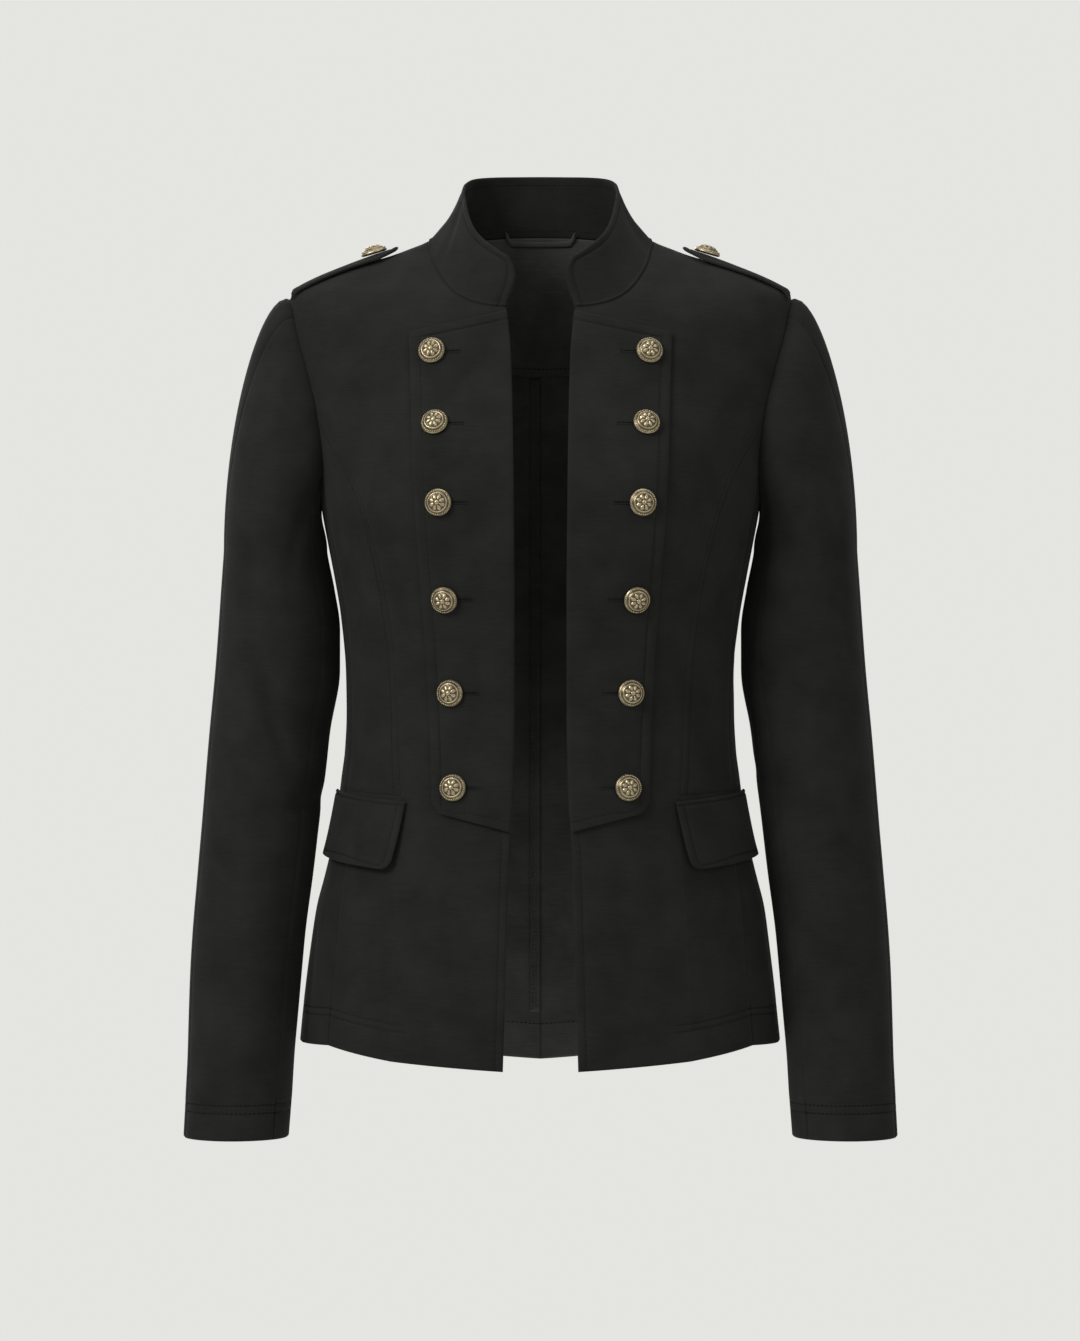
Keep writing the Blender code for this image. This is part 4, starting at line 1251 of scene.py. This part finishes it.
def button_face(reach, turn):
    """Height of the button's face and how deep its shade is: a boss, eight petals, two rings."""
    dome = 2.0 + 4.1 * (1 - reach ** 2.4)
    if reach < 0.17:
        return dome + 0.6 * math.sqrt(max(0.0, 1 - (reach / 0.17) ** 2)), 0.0
    if reach < 0.22:
        return dome - 0.25, 0.85
    if reach < 0.6:
        along = (reach - 0.22) / 0.38
        half = 0.5 * math.sin(math.pi * (0.12 + 0.8 * along))
        place = abs(((turn / (math.pi / 4)) % 1.0) - 0.5) * 2
        petal = max(0.0, 1 - (place / max(half * 1.7, 0.01)) ** 2)
        return dome - 0.25 + 0.75 * math.sqrt(petal), 0.0 if petal > 0.25 else 0.8
    if reach < 0.66:
        return dome - 0.25, 0.8
    if reach < 0.74:
        return dome + 0.1, 0.0
    return dome - 0.3 * math.sin(math.pi * min((reach - 0.74) / 0.2, 1.0)), 0.75


def make_button(name, seat, axis, side, settings):
    """A domed brass button: lathed shell with rosette, and a ring of beads."""
    axis = np.array(axis) * mirrored(side)
    centre = np.array(seat) * mirrored(side)
    across = np.cross(axis, [0.0, 0.0, 1.0])
    across /= np.linalg.norm(across)
    upward = np.cross(axis, across)
    face = [0.001, 0.06, 0.11, 0.15, 0.168, 0.18, 0.21, 0.23, 0.28, 0.33, 0.38, 0.43, 0.48,
            0.53, 0.57, 0.595, 0.61, 0.65, 0.67, 0.73, 0.75, 0.8, 0.86, 0.92]
    profile = [(reach, None) for reach in face]
    profile += [(0.965, 2.1), (0.99, 1.75), (1.0, 1.25), (0.99, 0.75), (0.95, 0.3),
                (0.88, 0.05), (0.001, 0.0)]
    last = len(profile) - 1
    mesh = bmesh.new()
    bmesh.ops.create_uvsphere(mesh, u_segments=BUTTON_TURNS, v_segments=last, radius=1.0)
    # How deep the painted shade is at each vertex, read by the brass material.
    recess_shade = mesh.verts.layers.float.new("recess_shade")
    for vert in mesh.verts:
        ring = round(math.acos(min(max(vert.co.z, -1), 1)) / math.pi * last)
        turn = math.atan2(vert.co.y, vert.co.x)
        reach, rise = profile[ring]
        if rise is None:
            rise, vert[recess_shade] = button_face(reach, turn)
        way = across * math.cos(turn) + upward * math.sin(turn)
        vert.co = (centre + axis * rise + way * BUTTON_RADIUS * reach) * MM
    beads = []
    for k in range(BEADS):
        turn = k * 2 * math.pi / BEADS
        way = across * math.cos(turn) + upward * math.sin(turn)
        spot = centre + axis * BEAD_RISE + way * BUTTON_RADIUS * BEAD_REACH
        beads.append(Matrix.Translation(Vector(spot) * MM) @ Matrix.Scale(BEAD_RADIUS * MM, 4))
    mesh.normal_update()
    bmesh.ops.recalc_face_normals(mesh, faces=mesh.faces[:])
    ring = grain_mesh(beads, 8, 6)
    beading = bpy.data.meshes.new("beading")
    ring.to_mesh(beading)
    ring.free()
    mesh.from_mesh(beading)
    bpy.data.meshes.remove(beading)
    thing = finished(name + "_brass", mesh, [brass_material(settings)])
    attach(thing, "root")
    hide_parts(name)


def make_buttons(settings, side, word):
    """The plastron and epaulette buttons of one side."""
    for k, row in enumerate(BUTTONS):
        seat, normal = button_seat(*row)
        make_button("button_" + word + "_" + str(k + 1), seat, normal, side, settings)
    seat, normal = shoulder_seat()
    make_button("button_shoulder_" + word, seat, normal, side, settings)


def make_buttonholes(settings, side, word):
    """Worked holes in the plastron, lying level from each button toward the centre."""
    threads, slit_shades = [], []

    def work(grains, across, height, rise, way, *sizes, up=0.0):
        place = (angle_at(across, height), height + rise)
        normal = body_normal(*place)
        spot = body_point(place[0], place[1] + up) + normal * (PLASTRON_GAP + PLASTRON_CLOTH)
        add_stitch(grains, spot * mirrored(side), way, normal * mirrored(side), *sizes)

    for across, height, _ in BUTTONS:
        start, length = across - HOLE["start"], HOLE["length"]
        for k in range(HOLE["stitches"]):
            for up in (-0.95, 0.95):
                work(threads, start - length * k / (HOLE["stitches"] - 1), height, 0.0,
                     (0, 0, 1), 1.5, 0.55, 0.16, up=up)
        for k in range(HOLE["end_stitches"]):
            work(threads, across - HOLE["end"], height, (k - 2) * 0.62, (1, 0, 0),
                 1.5, 0.6, 0.2)
        # A flat near-black grain over each slit, which is painted shade of its opening.
        work(slit_shades, start - length / 2, height, 0.0, (1, 0, 0), length, 0.5, STITCH_LIFT)
    grain_object("buttonholes_" + word, threads, thread_material(settings))
    grain_object("buttonhole_slits_" + word, slit_shades, slit_shade_material())


def make_facing(settings):
    """The facing inside the back neck with its stitched lower edge."""
    half = []
    for share in np.linspace(0, 1, 41):
        row = SIDE_NECK + 0.5 + (len(COLLAR) - 1.5 - SIDE_NECK) * share
        angle, height = neck_place(row)
        low_angle = 104.0 + 76.0 * share ** 0.8
        low_height = -20.0 - 72.0 * math.sin(math.pi / 2 * share)
        half.append([(angle + (low_angle - angle) * t,
                      height - 0.8 + (low_height - height + 0.8) * t)
                     for t in np.linspace(0, 1, 21)])
    grid = on_body(half, -CLOTH - FACING_GAP).transpose(1, 0, 2)
    other = grid[:, -2::-1].copy()
    other[:, :, 0] *= -1
    other[:, :, 3] *= -1
    grid = np.concatenate([grid, other], axis=1)
    grid = refine(grid, (EDGE, 60, EDGE), (EDGE, 14, stitched(EDGE, TOP_ROW)))
    panel = Panel(grid, FACING_CLOTH)
    panel.sink(TOP_ROW, "B", 0.2)
    cloth_object("back_neck_facing", panel, 1, settings)
    sewing("facing_sewing", [panel.seam("B", TOP_ROW, inside=True)], 1, settings)


def make_loop(settings):
    """The hanger loop inside the back neck."""
    places = []
    for t in np.linspace(0, 1, 7):
        row = []
        for x in np.linspace(-28.0, 28.0, 45):
            rise = 6.0 * max(0.0, (abs(x) - 23.5) / 4.5)
            height = 11.0 + rise - 5.0 * t - 1.0 * math.cos(x / 28.0 * math.pi / 2)
            angle = angle_at(x, height, True)
            row.append((angle if x >= 0 else 360 - angle, height))
        places.append(row)
    grid = on_body(places, -CLOTH - FACING_GAP - FACING_CLOTH - 0.6)
    cloth_object("hanger_loop", Panel(grid, LOOP_CLOTH), 1, settings)


def make_allowance(settings):
    """The allowance of the centre back seam with its overlocked edge."""
    heights = [height for height in line_heights("centre_back") if -587 < height < -96]
    places = []
    for height in [-95.0] + heights + [-588.0]:
        row = []
        for x in np.linspace(-8.5, -0.6, 9):
            row.append((360 - angle_at(x, height, True), height))
        places.append(row)
    grid = on_body(places, -CLOTH - 0.5)
    panel = Panel(grid, ALLOWANCE_CLOTH)
    cloth_object("centre_back_allowance", panel, 1, settings)
    grains = []
    inner = panel.faces()[1]
    edge = inner[:, 1]
    reach = reach_of(edge)
    at = 1.0
    while at < reach[-1] - 1:
        spot = value_at(edge, reach, at) + np.array([0.6, 0, 0])
        normal = -value_at(grid[:, 1, 3:6], reach, at)
        add_stitch(grains, spot, (1.0, 0, 0.25), normal, 3.4, 0.45)
        at += OVERLOCK_PITCH
    for share in (0.35, 0.62):
        k = round(share * 8)
        line = [(point, -normal) for point, normal in zip(inner[:, k], grid[:, k, 3:6])]
        stitch_row(grains, line, 1, settings)
    pale = thread_material(settings, "Pale charcoal thread", 4.0)
    grain_object("overlock_sewing", grains, pale)


def make_stage(settings):
    """Plain pale surroundings, soft studio light and the camera at the photo's place."""
    scene = bpy.context.scene
    pale = (*settings.backdrop_colour[:3], 1.0)
    world = bpy.data.worlds.new("Studio")
    world.use_nodes = True
    nodes, links = world.node_tree.nodes, world.node_tree.links
    nodes["Background"].inputs["Color"].default_value = pale
    glow = fill(nodes.new("ShaderNodeBackground"), Color=pale, Strength=settings.ambient_light)
    path = nodes.new("ShaderNodeLightPath")
    mix = nodes.new("ShaderNodeMixShader")
    links.new(path.outputs["Is Camera Ray"], mix.inputs[0])
    links.new(glow.outputs[0], mix.inputs[1])
    links.new(nodes["Background"].outputs[0], mix.inputs[2])
    links.new(mix.outputs[0], nodes["World Output"].inputs["Surface"])
    scene.world = world
    scene.view_settings.view_transform = "Standard"

    mesh = bmesh.new()
    bmesh.ops.create_circle(mesh, cap_ends=True, segments=96, radius=3.0,
                            matrix=Matrix.Translation((0, 0, FLOOR_HEIGHT)))
    material, nodes, links, shader = shader_nodes("Pale floor")
    fill(shader, Base_Color=pale, Roughness=0.9, Emission_Color=pale)
    path = nodes.new("ShaderNodeLightPath")
    glow = nodes.new("ShaderNodeMath")
    glow.operation = "MULTIPLY"
    glow.inputs[1].default_value = FLOOR_GLOW
    links.new(path.outputs["Is Camera Ray"], glow.inputs[0])
    links.new(glow.outputs[0], shader.inputs["Emission Strength"])
    floor = finished("floor", mesh, [material], False)

    for name, place, size, power in LIGHTS:
        lamp = bpy.data.lights.new(name, "AREA")
        lamp.shape = "RECTANGLE"
        lamp.size, lamp.size_y = size
        lamp.energy = power * settings.light_power
        thing = bpy.data.objects.new(name, lamp)
        scene.collection.objects.link(thing)
        way = Vector(LIGHTS_AIM) - Vector(place)
        thing.rotation_euler = way.to_track_quat("-Z", "Y").to_euler()
        thing.location = place

    lens = bpy.data.cameras.new("Photo camera")
    lens.lens = CAMERA_LENS
    lens.sensor_width = 36.0
    lens.sensor_fit = "AUTO"
    camera = bpy.data.objects.new("Photo camera", lens)
    camera.location = CAMERA_PLACE
    camera.rotation_euler = (math.pi / 2, 0, 0)
    scene.collection.objects.link(camera)
    scene.camera = camera


def make_both(settings, *makers):
    """Runs some makers for the left and then for the right side."""
    for side, word in SIDES:
        for maker in makers:
            maker(settings, side, word)


class BlazerSettings(bpy.types.PropertyGroup):
    """Sizes and colours of the blazer's looks."""

    fold_depth: bpy.props.FloatProperty(
        name="Fold depth", description="Depth of the soft folds, as a factor",
        default=1.6, min=0.0, max=3.0, subtype="FACTOR")
    thread_width: bpy.props.FloatProperty(
        name="Thread width", description="Width of the sewing thread in millimetres",
        default=0.8, min=0.2, max=1.2)
    cloth_colour: bpy.props.FloatVectorProperty(
        name="Cloth", description="Colour of the knit", subtype="COLOR", size=3,
        default=(0.02, 0.0203, 0.0192), min=0.0, max=1.0)
    brass_colour: bpy.props.FloatVectorProperty(
        name="Buttons", description="Colour of the buttons", subtype="COLOR", size=3,
        default=(0.86, 0.72, 0.48), min=0.0, max=1.0)
    backdrop_colour: bpy.props.FloatVectorProperty(
        name="Backdrop", description="Colour of the surroundings", subtype="COLOR", size=3,
        default=(0.78, 0.785, 0.755), min=0.0, max=1.0)
    ambient_light: bpy.props.FloatProperty(
        name="Ambient light", description="Share of the backdrop's light on the cloth",
        default=0.32, min=0.0, max=2.0, subtype="FACTOR")
    light_power: bpy.props.FloatProperty(
        name="Light", description="Strength of the studio lights, as a factor",
        default=1.0, min=0.0, max=4.0, subtype="FACTOR")


class BLAZER_OT_body(bpy.types.Operator):
    """Makes the torso's panels and their sewing"""
    bl_idname = "blazer.body"
    bl_label = "Body"

    def execute(self, context):
        make_both(context.scene.blazer, make_body)
        return {"FINISHED"}


class BLAZER_OT_sleeves(bpy.types.Operator):
    """Makes both sleeves and the sewing of their cuffs"""
    bl_idname = "blazer.sleeves"
    bl_label = "Sleeves"

    def execute(self, context):
        make_both(context.scene.blazer, make_sleeves)
        return {"FINISHED"}


class BLAZER_OT_collar(bpy.types.Operator):
    """Makes the stand collar"""
    bl_idname = "blazer.collar"
    bl_label = "Collar"

    def execute(self, context):
        make_collar(context.scene.blazer)
        return {"FINISHED"}


class BLAZER_OT_plastron(bpy.types.Operator):
    """Makes the plastron's flaps and their buttonholes"""
    bl_idname = "blazer.plastron"
    bl_label = "Plastron"

    def execute(self, context):
        make_both(context.scene.blazer, make_plastron, make_buttonholes)
        return {"FINISHED"}


class BLAZER_OT_pockets(bpy.types.Operator):
    """Makes the pocket flaps"""
    bl_idname = "blazer.pockets"
    bl_label = "Pocket flaps"

    def execute(self, context):
        make_both(context.scene.blazer, make_flap)
        return {"FINISHED"}


class BLAZER_OT_epaulettes(bpy.types.Operator):
    """Makes the shoulder straps"""
    bl_idname = "blazer.epaulettes"
    bl_label = "Epaulettes"

    def execute(self, context):
        make_both(context.scene.blazer, make_epaulette)
        return {"FINISHED"}


class BLAZER_OT_buttons(bpy.types.Operator):
    """Makes the brass buttons"""
    bl_idname = "blazer.buttons"
    bl_label = "Buttons"

    def execute(self, context):
        make_both(context.scene.blazer, make_buttons)
        return {"FINISHED"}


class BLAZER_OT_inside(bpy.types.Operator):
    """Makes the neck facing, the hanger loop and the seam allowance"""
    bl_idname = "blazer.inside"
    bl_label = "Inside pieces"

    def execute(self, context):
        make_facing(context.scene.blazer)
        make_loop(context.scene.blazer)
        make_allowance(context.scene.blazer)
        return {"FINISHED"}


class BLAZER_OT_stage(bpy.types.Operator):
    """Makes the floor, the light and the camera"""
    bl_idname = "blazer.stage"
    bl_label = "Stage"

    def execute(self, context):
        make_stage(context.scene.blazer)
        return {"FINISHED"}


OPERATORS = (BLAZER_OT_body, BLAZER_OT_sleeves, BLAZER_OT_collar, BLAZER_OT_plastron,
             BLAZER_OT_pockets, BLAZER_OT_epaulettes, BLAZER_OT_buttons, BLAZER_OT_inside,
             BLAZER_OT_stage)


class BLAZER_PT_panel(bpy.types.Panel):
    """The sidebar panel with the blazer's sizes, colours and pieces"""
    bl_label = "Blazer"
    bl_idname = "BLAZER_PT_panel"
    bl_space_type = "VIEW_3D"
    bl_region_type = "UI"
    bl_category = "Blazer"

    def draw(self, context):
        for name in ("fold_depth", "thread_width", "cloth_colour", "brass_colour",
                     "backdrop_colour", "ambient_light", "light_power"):
            self.layout.prop(context.scene.blazer, name)
        for operator in OPERATORS:
            self.layout.operator(operator.bl_idname)


def register():
    """Adds the settings, the operators and the panel."""
    for part in (BlazerSettings,) + OPERATORS + (BLAZER_PT_panel,):
        bpy.utils.register_class(part)
    bpy.types.Scene.blazer = bpy.props.PointerProperty(type=BlazerSettings)


def unregister():
    """Takes them away again."""
    del bpy.types.Scene.blazer
    for part in (BLAZER_PT_panel,) + OPERATORS[::-1] + (BlazerSettings,):
        bpy.utils.unregister_class(part)


def main():
    """Makes every piece and the stage."""
    register()
    for name in ("body", "sleeves", "collar", "plastron", "pockets", "epaulettes",
                 "buttons", "inside", "stage"):
        getattr(bpy.ops.blazer, name)()


if __name__ == "__main__":
    main()
